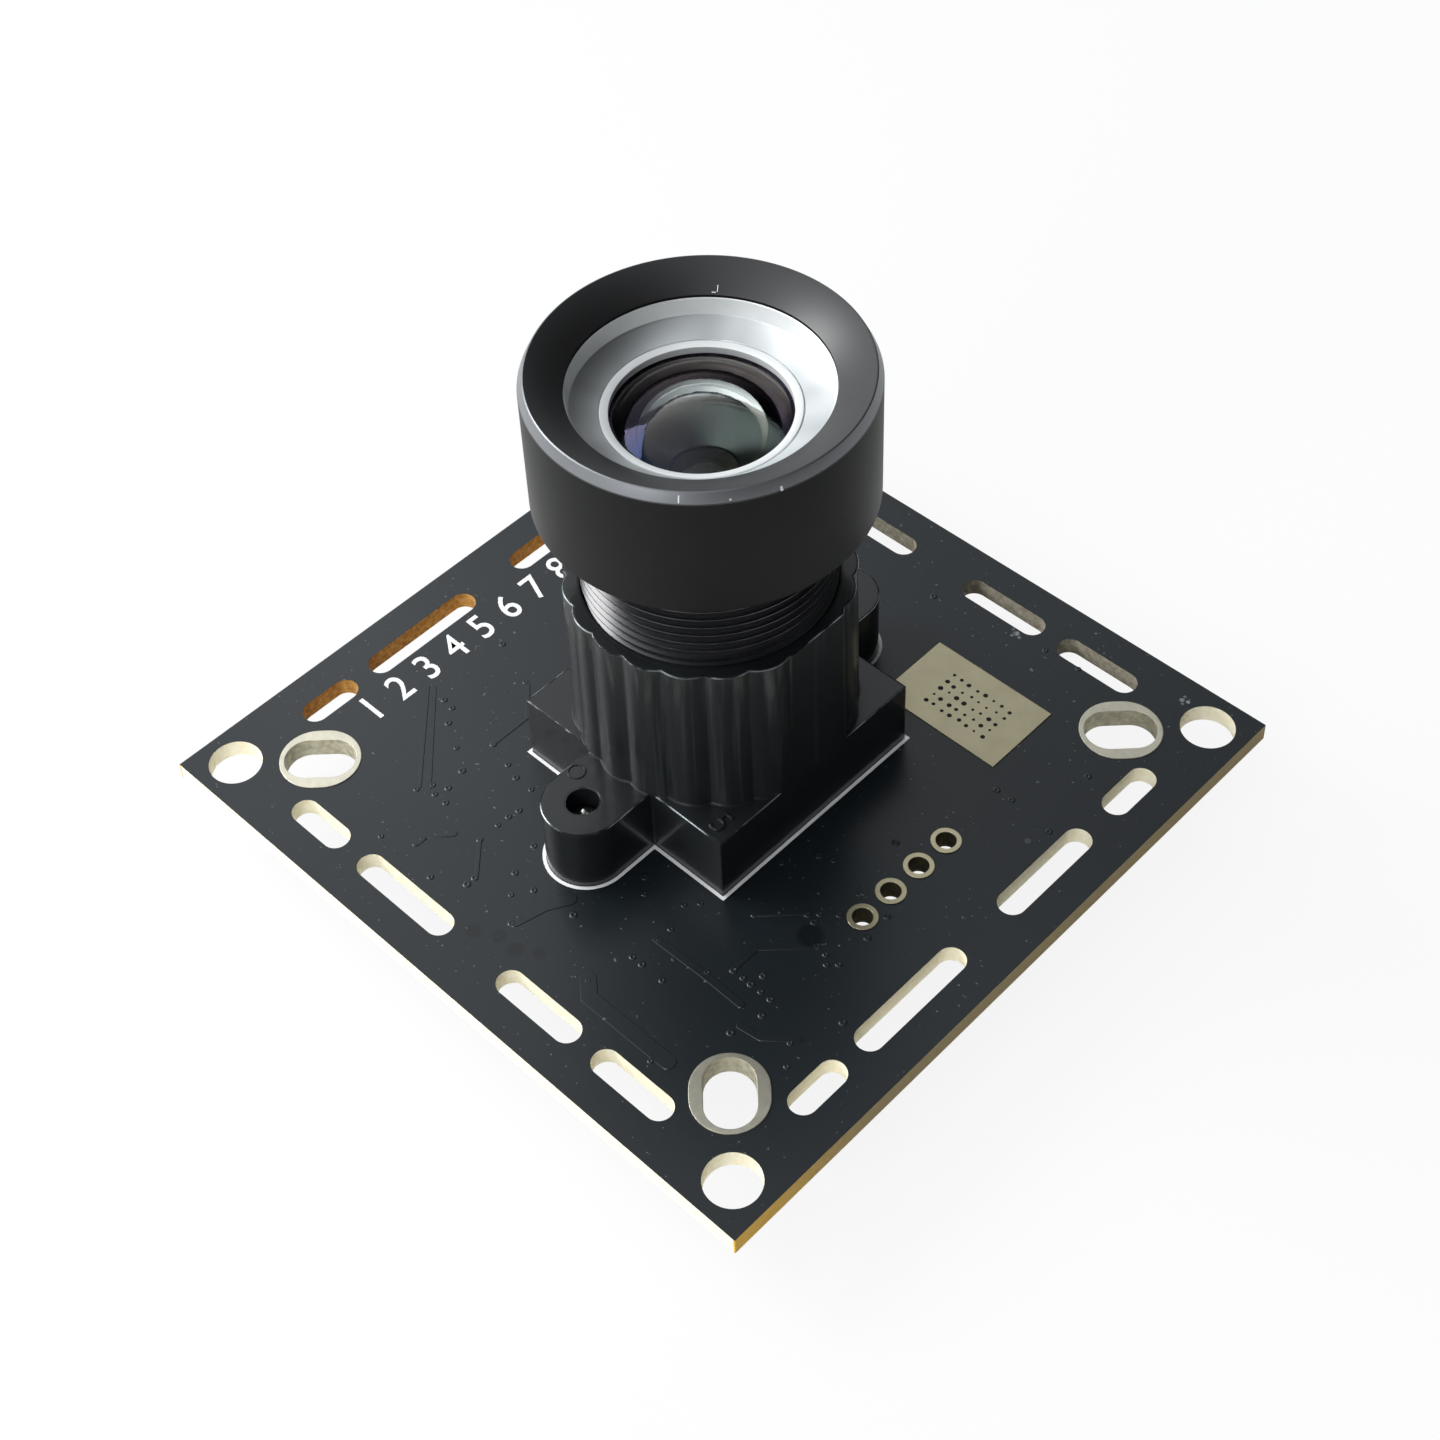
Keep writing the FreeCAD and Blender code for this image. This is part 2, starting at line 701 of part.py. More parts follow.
def make_front_ring():
    """Build the bright cup-shaped ring that holds the front glass."""
    outer = "ring_diameter / 2"
    floor = "ring_top - ring_cup_depth"
    step = f"{floor} - ring_floor_fall"
    body = turned("front_retaining_ring", [
        ("ring_hole_radius", "ring_low"), (outer, "ring_low"), (outer, "ring_top"),
        (f"{outer} - ring_lip", "ring_top"), (f"{outer} - ring_wall", floor),
        ("ring_step_radius", step), ("ring_step_radius", f"{step} + ring_step_height"),
        ("ring_hole_radius", f"{step} + ring_step_height - ring_bevel_depth"),
    ])
    return keep("front_retaining_ring", body)


def rise_of(curve, clear):
    """Give the rise of a spherical face over its clear radius."""
    return f"({curve} - sqrt({curve} ^ 2 - ({clear}) ^ 2))"


def make_front_glass():
    """Build the front glass: domed outside, hollow inside, flat where it is held."""
    dome = rise_of("front_dome_radius", "front_dome_clear")
    hollow = rise_of("front_hollow_radius", "front_hollow_clear")
    body = turned("front_glass", [
        ("0", f"front_glass_low + {hollow}", "-front_hollow_radius"),
        ("front_hollow_clear", "front_glass_low"), ("front_glass_radius", "front_glass_low"),
        ("front_glass_radius", "ring_low"), ("front_dome_clear", "ring_low", "front_dome_radius"),
        ("0", f"ring_low + {dome}"),
    ])
    return keep("front_glass", body)


def make_glass(label, low, edge, curve, hollow_top, hollow_low):
    """Build an inner glass with two spherical faces inside its flat edge."""
    clear = "glass_clear_radius"
    rise = rise_of(curve, clear)
    top = f"{low} + {edge}"
    low_turn = f"-{curve}" if hollow_low else curve
    top_turn = f"-{curve}" if hollow_top else curve
    low_middle = f"{low} + {rise}" if hollow_low else f"{low} - {rise}"
    top_middle = f"{top} - {rise}" if hollow_top else f"{top} + {rise}"
    body = turned(label, [
        ("0", low_middle, low_turn), (clear, low), ("rear_glass_radius", low),
        ("rear_glass_radius", top), (clear, top, top_turn), ("0", top_middle),
    ])
    return keep(label, body)


def make_ring(label, low, height, inner, outer="rear_glass_radius"):
    """Build a plain ring of the lens stack."""
    top = f"{low} + {height}"
    return keep(label, turned(label, [(inner, low), (outer, low), (outer, top), (inner, top)]))


def make_rear_ring():
    """Build the slotted ring that closes the lens at the back."""
    inner = "rear_ring_hole_diameter / 2"
    ring = turned("rear_ring_blank", [
        (inner, "rear_ring_low"), ("rear_glass_radius", "rear_ring_low"),
        ("rear_glass_radius", "rear_glass_low"), (inner, "rear_glass_low"),
    ])
    slots = Drawing(ring, "rear_ring_slots", level="rear_ring_low")
    reach = "rear_bore_radius"
    half_slot = "spanner_slot_width / 2"
    slots.rectangle("-" + reach, "-" + half_slot, reach, half_slot)
    pocket(ring, "rear_ring_slotting", slots, "spanner_slot_depth", upward=True)
    return keep("rear_retaining_ring", ring)


# Sensor under the holder


def make_sensor():
    """Build the sensor package, its silicon and its cover glass, and the filter above."""
    package = block("sensor_block", "0", "0", "board_top", "sensor_length", "sensor_width", "sensor_height")
    well = block(
        "sensor_well", "0", "0", "board_top + sensor_floor",
        "sensor_length - 2 * sensor_wall", "sensor_width - 2 * sensor_wall", "sensor_height",
    )
    keep("sensor_package", cut("sensor_package_cut", package, well))
    keep("sensor_silicon", block(
        "sensor_silicon_block", "0", "0", "board_top + sensor_floor",
        "sensor_length - 2 * sensor_wall - die_margin", "sensor_width - 2 * sensor_wall - die_margin",
        "die_thickness",
    ))
    keep("sensor_cover_glass", block(
        "sensor_cover", "0", "0", "board_top + sensor_height", "sensor_length - 2 * cover_glass_margin",
        "sensor_width - 2 * cover_glass_margin", "cover_glass_thickness",
    ))
    keep("infrared_filter", block(
        "filter_plate", "0", "0", "filter_top - filter_thickness",
        "filter_side", "filter_side", "filter_thickness",
    ))


# Parts on the back


def make_connector():
    """Build the side-entry wire connector: housing, four contacts and two solder tabs."""
    body = new_body("connector_housing")
    half = "connector_width / 2"
    outside = Drawing(body, "connector_outline", level="board_low - connector_height")
    outside.rectangle("-connector_mouth", "-" + half, "-connector_back", half)
    pad(body, "connector_block", outside, "connector_height")
    socket = Drawing(body, "socket_outline", "YZ_Plane", level="-connector_mouth")
    low = "board_low - connector_height + connector_wall"
    top = "board_low - connector_wall"
    side = f"({half} - connector_wall)"
    socket.rectangle(f"-{side}", low, side, top)
    pocket(body, "connector_socket", socket, "socket_depth", upward=True)
    key = Drawing(body, "key_outline", "YZ_Plane", level="-connector_mouth")
    key.rectangle("-key_width / 2", f"{low} - key_depth", "key_width / 2", low)
    pocket(body, "connector_key", key, "socket_depth", upward=True)
    passages = Drawing(body, "passage_outline", "YZ_Plane", level="-connector_mouth + socket_depth")
    middle = "board_low - connector_height / 2"
    thick = "contact_width"
    for step in FOUR_STEPS:
        across = f"{step} * contact_pitch"
        left = f"{across} - {thick} / 2"
        right = f"{across} + {thick} / 2"
        passages.rectangle(left, f"{middle} - {thick} / 2", right, f"{middle} + {thick} / 2")
    pocket(body, "connector_passages", passages, "connector_depth - socket_depth", upward=True)
    keep("connector_housing", body)

    contact = new_body("connector_contact")
    profile = Drawing(contact, "contact_profile", "XZ_Plane")
    front = "-connector_mouth + socket_depth - contact_reach"
    tail = "-connector_back + contact_tail"
    bend = f"{tail} - contact_foot - {thick}"
    profile.outline([
        (front, f"{middle} - {thick} / 2"), (f"{bend} + {thick}", f"{middle} - {thick} / 2"),
        (f"{bend} + {thick}", f"board_low - {thick}"), (tail, f"board_low - {thick}"),
        (tail, "board_low"), (bend, "board_low"), (bend, f"{middle} + {thick} / 2"),
        (front, f"{middle} + {thick} / 2"),
    ])
    raised = pad(contact, "contact_strip", profile, thick)
    raised.Midplane = True
    DOC.recompute()
    contacts = []
    for number, step in enumerate(FOUR_STEPS, start=1):
        contacts.append(copy_of(f"contact_{number}", contact, up=f"{step} * contact_pitch"))
    return contacts


def make_tabs():
    """Build the two solder tabs beside the connector."""
    tabs = []
    for number, sign in enumerate((-1, 1), start=1):
        across = f"{sign} * (connector_width + tab_width) / 2"
        along = "-connector_mouth + tab_length"
        level = "board_low - tab_thickness"
        tabs.append(block(f"tab_{number}", along, across, level, "tab_length", "tab_width", "tab_thickness"))
    return keep("connector_tabs", group("connector_tab_pair", tabs))


def make_crystal():
    """Build the crystal: an oval can on a base plate, with a lead at each end."""
    can = new_body("crystal_can")
    run = "(crystal_length - crystal_width) / 2"
    oval = Drawing(can, "can_outline", level="board_low - crystal_height")
    oval.slot(("0", "-" + run), ("0", run), "crystal_width")
    pad(can, "can_block", oval, "crystal_height - crystal_base_thickness")
    place(can, "crystal_right", "crystal_up")
    keep("crystal_can", can)

    keep("crystal_base", block(
        "crystal_base_plate", "crystal_right", "crystal_up", "board_low - crystal_base_thickness",
        "crystal_width + 2 * crystal_base_margin", "crystal_length + 2 * crystal_base_margin",
        "crystal_base_thickness",
    ))
    leads = []
    for number, sign in enumerate((-1, 1), start=1):
        reach = "crystal_length / 2 + crystal_base_margin + crystal_lead_reach / 2"
        across = f"crystal_up + {sign} * ({reach})"
        level = "board_low - crystal_lead_thickness"
        leads.append(block(
            f"crystal_lead_{number}", "crystal_right", across, level,
            "crystal_lead_width", "crystal_lead_reach", "crystal_lead_thickness",
        ))
    keep("crystal_leads", group("crystal_lead_pair", leads))


def make_processor():
    """Build the image processor, with a dimple at its first corner."""
    level = "board_low - processor_height"
    side = "processor_side"
    plate = block("processor_plate", "processor_right", "processor_up", level, side, side, "processor_height")
    dimple = cylinder(
        "processor_dimple", f"processor_right - {side} / 2 + dimple_inset",
        f"processor_up - {side} / 2 + dimple_inset", level, "dimple_diameter", "dimple_depth",
    )
    return keep("image_processor", cut("processor_body", plate, dimple))


def make_leaded_chip(label, right, up, length, width, height, pitch, low_steps, top_steps):
    """Build a chip body and the gull-wing leads along its two long sides."""
    level = f"board_low - {height}"
    plate = block(f"{label}_plate", right, up, level, length, width, f"{height} - chip_standoff")
    dimple = cylinder(
        f"{label}_dimple", f"{right} - {length} / 2 + dimple_inset", f"{up} - {width} / 2 + dimple_inset",
        level, "dimple_diameter", "dimple_depth",
    )
    keep(label, cut(f"{label}_body", plate, dimple))

    lead = new_body(f"{label}_lead")
    profile = Drawing(lead, f"{label}_lead_profile", "YZ_Plane")
    root = f"{width} / 2"
    middle = f"board_low - {height} / 2"
    end = f"{width} / 2 + lead_reach"
    bend = f"({end} - lead_foot)"
    profile.outline([
        (root, middle), (f"{bend} - lead_thickness", middle),
        (bend, "board_low - lead_thickness"), (end, "board_low - lead_thickness"),
        (end, "board_low"), (f"{bend} - lead_thickness", "board_low"),
        (f"{bend} - 2 * lead_thickness", f"{middle} + lead_thickness"),
        (root, f"{middle} + lead_thickness"),
    ])
    strip = pad(lead, f"{label}_lead_strip", profile, "lead_width")
    strip.Midplane = True
    DOC.recompute()
    leads = []
    for side, steps, turn in (("top", top_steps, "0"), ("low", low_steps, "180")):
        for number, step in enumerate(steps, start=1):
            along = f"{right} + {step} * {pitch}"
            leads.append(copy_of(f"{label}_{side}_{number}", lead, along, up, turn=turn))
    keep(f"{label}_leads", group(f"{label}_lead_frame", leads))


def make_coil():
    """Build the shielded coil of the power supply."""
    body = new_body("power_coil")
    half = "(coil_side / 2)"
    cut_corner = f"({half} - coil_corner)"
    outline = Drawing(body, "coil_outline", level="board_low - coil_height")
    outline.outline([
        (f"-{cut_corner}", f"-{half}"), (cut_corner, f"-{half}"), (half, f"-{cut_corner}"),
        (half, cut_corner), (cut_corner, half), (f"-{cut_corner}", half),
        (f"-{half}", cut_corner), (f"-{half}", f"-{cut_corner}"),
    ])
    pad(body, "coil_block", outline, "coil_height")
    place(body, "coil_right", "coil_up")
    return keep("power_coil", body)


def make_small_parts():
    """Build the rows of capacitors and resistors behind the sensor."""
    for kind in ("capacitor", "resistor"):
        for number in range(6):
            keep(f"{kind}_{number + 1}", block(
                f"{kind}_block_{number + 1}", f"{kind}_row_right",
                f"{kind}_row_up + {number} * small_part_pitch", f"board_low - {kind}_height",
                "small_part_length", "small_part_width", f"{kind}_height",
            ))


def make_all():
    """Build every piece."""
    make_board()
    for corner, signs in CORNERS.items():
        make_slot_plating(corner, *signs)
    for number, step in enumerate(FOUR_STEPS, start=1):
        make_wire_plating(number, step)
    keep("ground_pad", block(
        "pad_plate", "processor_right", "processor_up", "board_top",
        "pad_length", "pad_width", "copper_thickness",
    ))
    make_holder()
    make_screws()
    make_barrel()
    make_front_ring()
    make_front_glass()
    make_glass("second_glass", "second_low", "second_glass_edge", "second_glass_curve", False, True)
    make_ring(
        "aperture_stop", "stop_low", "stop_thickness", "stop_hole_diameter / 2",
        "rear_bore_radius - stop_clearance",
    )
    make_ring("front_spacer", "front_spacer_low", "front_spacer_height", "rear_glass_radius - spacer_wall")
    make_glass("third_glass", "third_low", "third_glass_edge", "third_glass_curve", False, False)
    make_ring("rear_spacer", "rear_spacer_low", "rear_spacer_height", "rear_glass_radius - spacer_wall")
    make_glass("rear_glass", "rear_glass_low", "rear_glass_edge", "rear_glass_curve", False, True)
    make_rear_ring()
    make_sensor()
    keep("connector_contacts", group("connector_contact_row", make_connector()))
    make_tabs()
    make_crystal()
    make_processor()
    make_leaded_chip(
        "memory_chip", "memory_right", "memory_up", "memory_length", "memory_width", "memory_height",
        "memory_pitch", FOUR_STEPS, FOUR_STEPS,
    )
    for name in ("first", "second"):
        make_leaded_chip(
            f"{name}_regulator", f"{name}_regulator_right", "regulator_up", "regulator_length",
            "regulator_width", "regulator_height", "regulator_pitch", (-1, 0, 1), (-1, 1),
        )
    make_coil()
    make_small_parts()


def check_and_write():
    """Stop on any failed feature or shape, then write one file a node."""
    DOC.recompute()
    for item in DOC.Objects:
        if "Invalid" in item.State or "Error" in item.State:
            raise RuntimeError(f"{item.Label} failed: {item.State}")
    os.makedirs("parts", exist_ok=True)
    for label, item in NODES.items():
        if item.Shape.isNull() or not item.Shape.isValid() or not item.Shape.Solids:
            raise RuntimeError(f"{label} has no valid shape")
    for label, item in NODES.items():
        item.Shape.exportStep(f"parts/{label}.step")
        print(label, len(item.Shape.Solids), round(item.Shape.Volume, 3))


make_all()
check_and_write()
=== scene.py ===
"""Looks of a board camera: finishes, lens thread, optics, print, copper relief and solder."""

from __future__ import annotations

import logging
import math
import random
from dataclasses import dataclass
from enum import Enum
from functools import cached_property
from typing import ClassVar, Iterable, NamedTuple

import bmesh
import bpy
from mathutils import Matrix, Vector

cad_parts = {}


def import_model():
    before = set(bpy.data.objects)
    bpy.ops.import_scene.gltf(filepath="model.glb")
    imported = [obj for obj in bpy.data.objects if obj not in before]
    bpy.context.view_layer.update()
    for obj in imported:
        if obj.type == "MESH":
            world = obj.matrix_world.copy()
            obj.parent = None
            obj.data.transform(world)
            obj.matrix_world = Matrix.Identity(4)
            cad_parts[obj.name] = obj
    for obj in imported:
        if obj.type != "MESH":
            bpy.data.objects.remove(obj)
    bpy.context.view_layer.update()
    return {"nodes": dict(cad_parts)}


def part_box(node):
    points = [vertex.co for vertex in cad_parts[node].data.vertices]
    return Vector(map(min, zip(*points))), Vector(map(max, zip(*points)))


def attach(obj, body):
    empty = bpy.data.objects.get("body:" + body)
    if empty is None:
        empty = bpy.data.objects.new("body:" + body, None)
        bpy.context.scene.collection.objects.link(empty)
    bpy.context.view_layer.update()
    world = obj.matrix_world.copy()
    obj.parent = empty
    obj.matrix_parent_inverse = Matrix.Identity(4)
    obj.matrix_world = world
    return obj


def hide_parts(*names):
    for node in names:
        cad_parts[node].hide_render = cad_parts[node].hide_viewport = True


LOG = logging.getLogger("board_camera")
MM = 0.001

Point = tuple[float, float]
Triple = tuple[float, float, float]
Tracks = tuple[tuple[float, tuple[float, ...]], ...]
Mesh = bmesh.types.BMesh
Piece = bpy.types.Object
Socket = bpy.types.NodeSocket
Links = dict[str | int, object]


class Side(Enum):
    """A face of the circuit board, and the way that its parts rise from it."""

    FRONT = 1
    BACK = -1


def linear(code: str) -> tuple[float, float, float, float]:
    """Turn an sRGB hex colour into linear red, green, blue and alpha."""
    channels = [int(code[start:start + 2], 16) / 255 for start in (0, 2, 4)]
    bent = [c / 12.92 if c <= 0.04045 else ((c + 0.055) / 1.055) ** 2.4 for c in channels]
    return (bent[0], bent[1], bent[2], 1.0)


class Graph:
    """A node tree under construction, with a method for each common kind of node.

    Where a method takes a value, that is a number, a vector or another node's output.
    """

    def __init__(self, tree: bpy.types.NodeTree) -> None:
        """Work on a tree."""
        self.tree = tree

    def plug(self, node: bpy.types.Node, links: Links) -> None:
        """Fill a node's input sockets, by name or number."""
        for socket, source in links.items():
            if isinstance(source, Socket):
                self.tree.links.new(source, node.inputs[socket])
            else:
                node.inputs[socket].default_value = source

    def add(self, kind: str, links: Links | None = None, **settings: object) -> bpy.types.Node:
        """Add a shader node.

        Args:
            kind: the node's type without the "ShaderNode" before it.
            links: what goes into its input sockets.
            **settings: its properties.

        Returns:
            The new node.
        """
        node = self.tree.nodes.new("ShaderNode" + kind)
        for name, setting in settings.items():
            setattr(node, name, setting)
        self.plug(node, links or {})
        return node

    def math(self, operation: str, *values: object) -> Socket:
        """Work out one number from up to three."""
        return self.add("Math", dict(enumerate(values)), operation=operation).outputs[0]

    def vector(self, operation: str, *values: object, output: str = "Vector") -> Socket:
        """Work out a vector, or its value, from up to three."""
        return self.add("VectorMath", dict(enumerate(values)), operation=operation).outputs[output]

    def mix(self, share: object, first: object, second: object, **settings: object) -> Socket:
        """Mix two colours, each an sRGB hex code or a value."""
        pair = [linear(colour) if isinstance(colour, str) else colour for colour in (first, second)]
        links = {"Factor": share, 6: pair[0], 7: pair[1]}
        return self.add("Mix", links, data_type="RGBA", **settings).outputs[2]

    def spread(
        self, value: Socket, low: float, high: float,
        start: float = 0.0, end: float = 1.0, smooth: bool = False,
    ) -> Socket:
        """Stretch what lies between low and high so that it runs from start to end."""
        links = {"Value": value, "From Min": low, "From Max": high, "To Min": start, "To Max": end}
        kind = "SMOOTHSTEP" if smooth else "LINEAR"
        return self.add("MapRange", links, interpolation_type=kind).outputs[0]

    def between(self, value: Socket, low: float, high: float) -> Socket:
        """Give 1 where a place lies between two limits in millimetres, and 0 elsewhere."""
        return self.math("COMPARE", value, (low + high) / 2 * MM, (high - low) / 2 * MM)

    def noise(self, place: Socket, width: float, detail: float = 2.0) -> Socket:
        """Give noise whose patches are about the given width in millimetres."""
        links = {"Vector": place, "Scale": 1.0 / (width * MM), "Detail": detail}
        return self.add("TexNoise", links).outputs["Fac"]

    def ramp(self, value: Socket, stops: dict[float, str]) -> Socket:
        """Turn a value into a colour between stops, each a place from 0 to 1 with its hex colour."""
        node = self.add("ValToRGB", {"Fac": value})
        elements = node.color_ramp.elements
        while len(elements) < len(stops):
            elements.new(0.5)
        for element, (place, code) in zip(elements, sorted(stops.items())):
            element.position = place
            element.color = linear(code)
        return node.outputs["Color"]

    def vary(self, value: Socket, code: str, low: float, high: float) -> Socket:
        """Change a hex colour by a factor that runs from low to high with a value."""
        channels = linear(code)[:3]
        ends = [(*(min(channel * factor, 1.0) for channel in channels), 1.0) for factor in (low, high)]
        return self.mix(value, *ends)

    @cached_property
    def place(self) -> Socket:
        """Where a point of the surface is, in the shared frame."""
        return self.add("TexCoord").outputs["Object"]

    def split(self, vector: Socket) -> tuple[Socket, Socket, Socket]:
        """Give a vector's X, Y and Z."""
        return tuple(self.add("SeparateXYZ", {0: vector}).outputs)

    def flat(self) -> Socket:
        """Give the way from the lens axis to the point, level with the board."""
        x, y, _ = self.split(self.place)
        return self.add("CombineXYZ", {0: x, 1: y}).outputs[0]

    def radius(self) -> Socket:
        """Give the point's distance from the lens axis."""
        return self.vector("LENGTH", self.flat(), output="Value")

    def levelness(self) -> Socket:
        """Give 1 where the surface lies level, down to 0 where it stands upright."""
        return self.math("ABSOLUTE", self.split(self.add("TexCoord").outputs["Normal"])[2])


class Look(NamedTuple):
    """A finished material, and the record's slot for new pieces made of it."""

    material: bpy.types.Material
    slot: str


@dataclass(frozen=True)
class Finish:
    """A real material and how its surface was made.

    Attributes:
        name: the material's name.
        colour: its sRGB hex colour.
        roughness: the shader's roughness.
        metallic: 1 for bare metal.
        ior: index of refraction, where it isn't a metal.
        specular: strength of the reflection, where it isn't a metal.
        coat: strength of a clear layer.
        coat_roughness: roughness of that layer.
        grain: width in millimetres of the surface's fine unevenness.
        depth: height in millimetres of that unevenness.
        rounding: radius in millimetres that edges look rounded by.
        slot: the record's material slot, where new pieces are made of it.
    """

    name: str
    colour: str
    roughness: float = 0.5
    metallic: float = 0.0
    ior: float = 1.5
    specular: float = 0.5
    coat: float = 0.0
    coat_roughness: float = 0.05
    grain: float = 0.3
    depth: float = 0.002
    rounding: float = 0.0
    slot: str = ""

    def build(self) -> Look:
        """Make the material, with its base shader, its pattern and its bump."""
        material = bpy.data.materials.new(self.name)
        material.use_nodes = True
        graph = Graph(material.node_tree)
        shader = graph.tree.nodes["Principled BSDF"]
        graph.plug(shader, {
            "Base Color": linear(self.colour), "Roughness": self.roughness, "Metallic": self.metallic,
            "Coat Weight": self.coat, "Coat Roughness": self.coat_roughness,
        })
        if not self.metallic:
            graph.plug(shader, {"IOR": self.ior, "Specular IOR Level": self.specular})
        graph.plug(shader, self.paint(graph))
        links: Links = {"Height": self.height(graph), "Distance": self.depth * MM, "Strength": 1.0}
        if self.rounding:
            links["Normal"] = graph.add("Bevel", {"Radius": self.rounding * MM}, samples=4).outputs["Normal"]
        bump = graph.add("Bump", links).outputs["Normal"]
        graph.plug(shader, {"Normal": bump})
        if self.coat:
            graph.plug(shader, {"Coat Normal": bump})
        return Look(material, self.slot)

    def height(self, graph: Graph) -> Socket:
        """Give the height of the surface's fine unevenness, from 0 to 1."""
        return graph.noise(graph.place, self.grain)

    def paint(self, graph: Graph) -> Links:
        """Give the shader's pattern: here, the colour varies a little, as on real surfaces."""
        patches = graph.noise(graph.place, self.grain * 8, 4.0)
        return {"Base Color": graph.vary(patches, self.colour, 0.86, 1.12)}


@dataclass(frozen=True)
class BoardLaminate(Finish):
    """Glass-epoxy laminate under black solder mask; the sides and hole walls are bare.

    The mask was screened on and cured, which gives a satin gloss with a slight waviness and specks
    of dust. The cut sides are yellow resin with fine layers of glass cloth.

    Attributes:
        layers: how many layers of cloth the board has.
        thickness: the board's thickness in millimetres.
        top: the level of its front.
        walls: dark, middle and light colours of the resin: pale, amber where painted shade falls in the left
            slots, and grey at the back.
        stains: marks on the front, each with its x, y, radius and colour.
    """

    layers: float = 8.0
    thickness: float = 1.0
    top: float = 4.5
    walls: tuple[tuple[str, str, str], ...] = (
        ("f3e9c4", "fdf6dc", "fffdf0"), ("8a6222", "bd8a3c", "d8b06a"), ("6f6a5c", "9b9482", "b9b3a2"),
    )
    stains: tuple[tuple[float, float, float, str], ...] = (
        (11.0, -5.4, 0.8, "06080c"), (-0.7, -15.8, 0.5, "0a0d10"), (0.4, -15.2, 0.45, "0a0d10"),
        (1.5, -15.2, 0.5, "0a0d10"), (2.5, -14.6, 0.4, "0a0d10"), (6.24, 15.62, 0.2, "8a9094"),
        (6.48, 15.5, 0.12, "767c80"), (6.1, 15.36, 0.1, "767c80"), (5.9, 15.75, 0.12, "5d6468"),
        (15.04, 17.59, 0.16, "8a9094"), (15.34, 17.68, 0.13, "9aa0a4"), (15.2, 17.4, 0.1, "767c80"),
        (15.02, 17.86, 0.1, "767c80"), (16.2, 4.4, 0.6, "06080a"), (14.9, 5.6, 0.2, "4a5054"),
    )

    def paint(self, graph: Graph) -> Links:
        """Paint mask on the faces and laminate on the sides."""
        is_face = graph.math("GREATER_THAN", graph.levelness(), 0.5)
        rough = graph.spread(is_face, 0.0, 1.0, 0.75, self.roughness)
        colour = graph.mix(is_face, self.paint_side(graph), self.paint_mask(graph))
        return {"Base Color": colour, "Roughness": rough}

    def paint_mask(self, graph: Graph) -> Socket:
        """Give the mask's colour, with its dust and stains."""
        mask = graph.vary(graph.noise(graph.place, 6.0, 6.0), self.colour, 0.8, 1.25)
        speck = graph.ramp(graph.noise(graph.place, 0.22, 1.0), {0.755: "000000", 0.78: "ffffff"})
        mask = graph.mix(speck, mask, "5b6266")
        for x, y, radius, code in self.stains:
            away = graph.vector("DISTANCE", graph.place, (x * MM, y * MM, self.top * MM), output="Value")
            share = graph.spread(away, radius * MM, radius * 0.55 * MM, 0.0, 0.75, smooth=True)
            mask = graph.mix(share, mask, code)
        return mask

    def paint_side(self, graph: Graph) -> Socket:
        """Give the laminate's colour: amber painted shade in the left slots, greyer in the back slots, golden
        towards the front on the outer sides.
        """
        x, y, z = graph.split(graph.place)
        turns = self.layers * 2 * math.pi / (self.thickness * MM)
        wave = graph.math("SINE", graph.math("MULTIPLY", z, turns))
        layered = graph.math("MULTIPLY_ADD", wave, 0.18, graph.noise(graph.place, 0.25, 3.0))
        pale, amber_shade, back_grey = (graph.ramp(layered, dict(zip((0.2, 0.5, 0.8), wall))) for wall in self.walls)
        # The left slots' amber is painted shade, as if lit only through the resin; the back slots' grey is
        # set by place.
        left = graph.math("MULTIPLY", graph.between(x, -18.6, -13.0), graph.between(y, -14.0, 14.0))
        back = graph.math("MULTIPLY", graph.between(y, 14.0, 18.6), graph.between(x, -14.0, 14.0))
        side = graph.mix(back, graph.mix(left, pale, amber_shade), back_grey)
        golden = graph.mix(graph.spread(y, -19 * MM, -9 * MM, smooth=True), "e8bd50", "a79878")
        outer = graph.mix(1.0, golden, pale, blend_type="MULTIPLY")
        is_outer = graph.between(x, 18.9, 19.2)
        for limit in (graph.between(x, -19.2, -18.9), graph.between(y, 18.9, 19.2)):
            is_outer = graph.math("MAXIMUM", is_outer, limit)
        return graph.mix(is_outer, side, outer)


@dataclass(frozen=True)
class TurnedMetal(Finish):
    """Metal turned on a lathe, with fine circular tool marks about the lens axis.

    Attributes:
        pitch: spacing in millimetres of the tool marks.
        sector: how much the tone changes round the axis, in wedges of painted reflection like the fan of a
            turned surface.
    """

    pitch: float = 0.08
    sector: float = 0.0

    def paint(self, graph: Graph) -> Links:
        """Vary the colour in patches, or in wedges round the axis that are painted reflection."""
        if not self.sector:
            return super().paint(graph)
        way = graph.vector("NORMALIZE", graph.flat())
        # Wedges round the axis: painted reflection, the fan that turned metal throws.
        wedges = graph.add("TexNoise", {"Vector": way, "Scale": 1.6, "Detail": 1.0}).outputs["Fac"]
        share = graph.spread(wedges, 0.35, 0.62)
        return {"Base Color": graph.vary(share, self.colour, 1.0 - self.sector, 1.05)}

    def height(self, graph: Graph) -> Socket:
        """Give circular grooves, as the tool left them."""
        slant = graph.math("ADD", graph.radius(), graph.split(graph.place)[2])
        return graph.noise(graph.add("CombineXYZ", {0: slant}).outputs[0], self.pitch, 3.0)


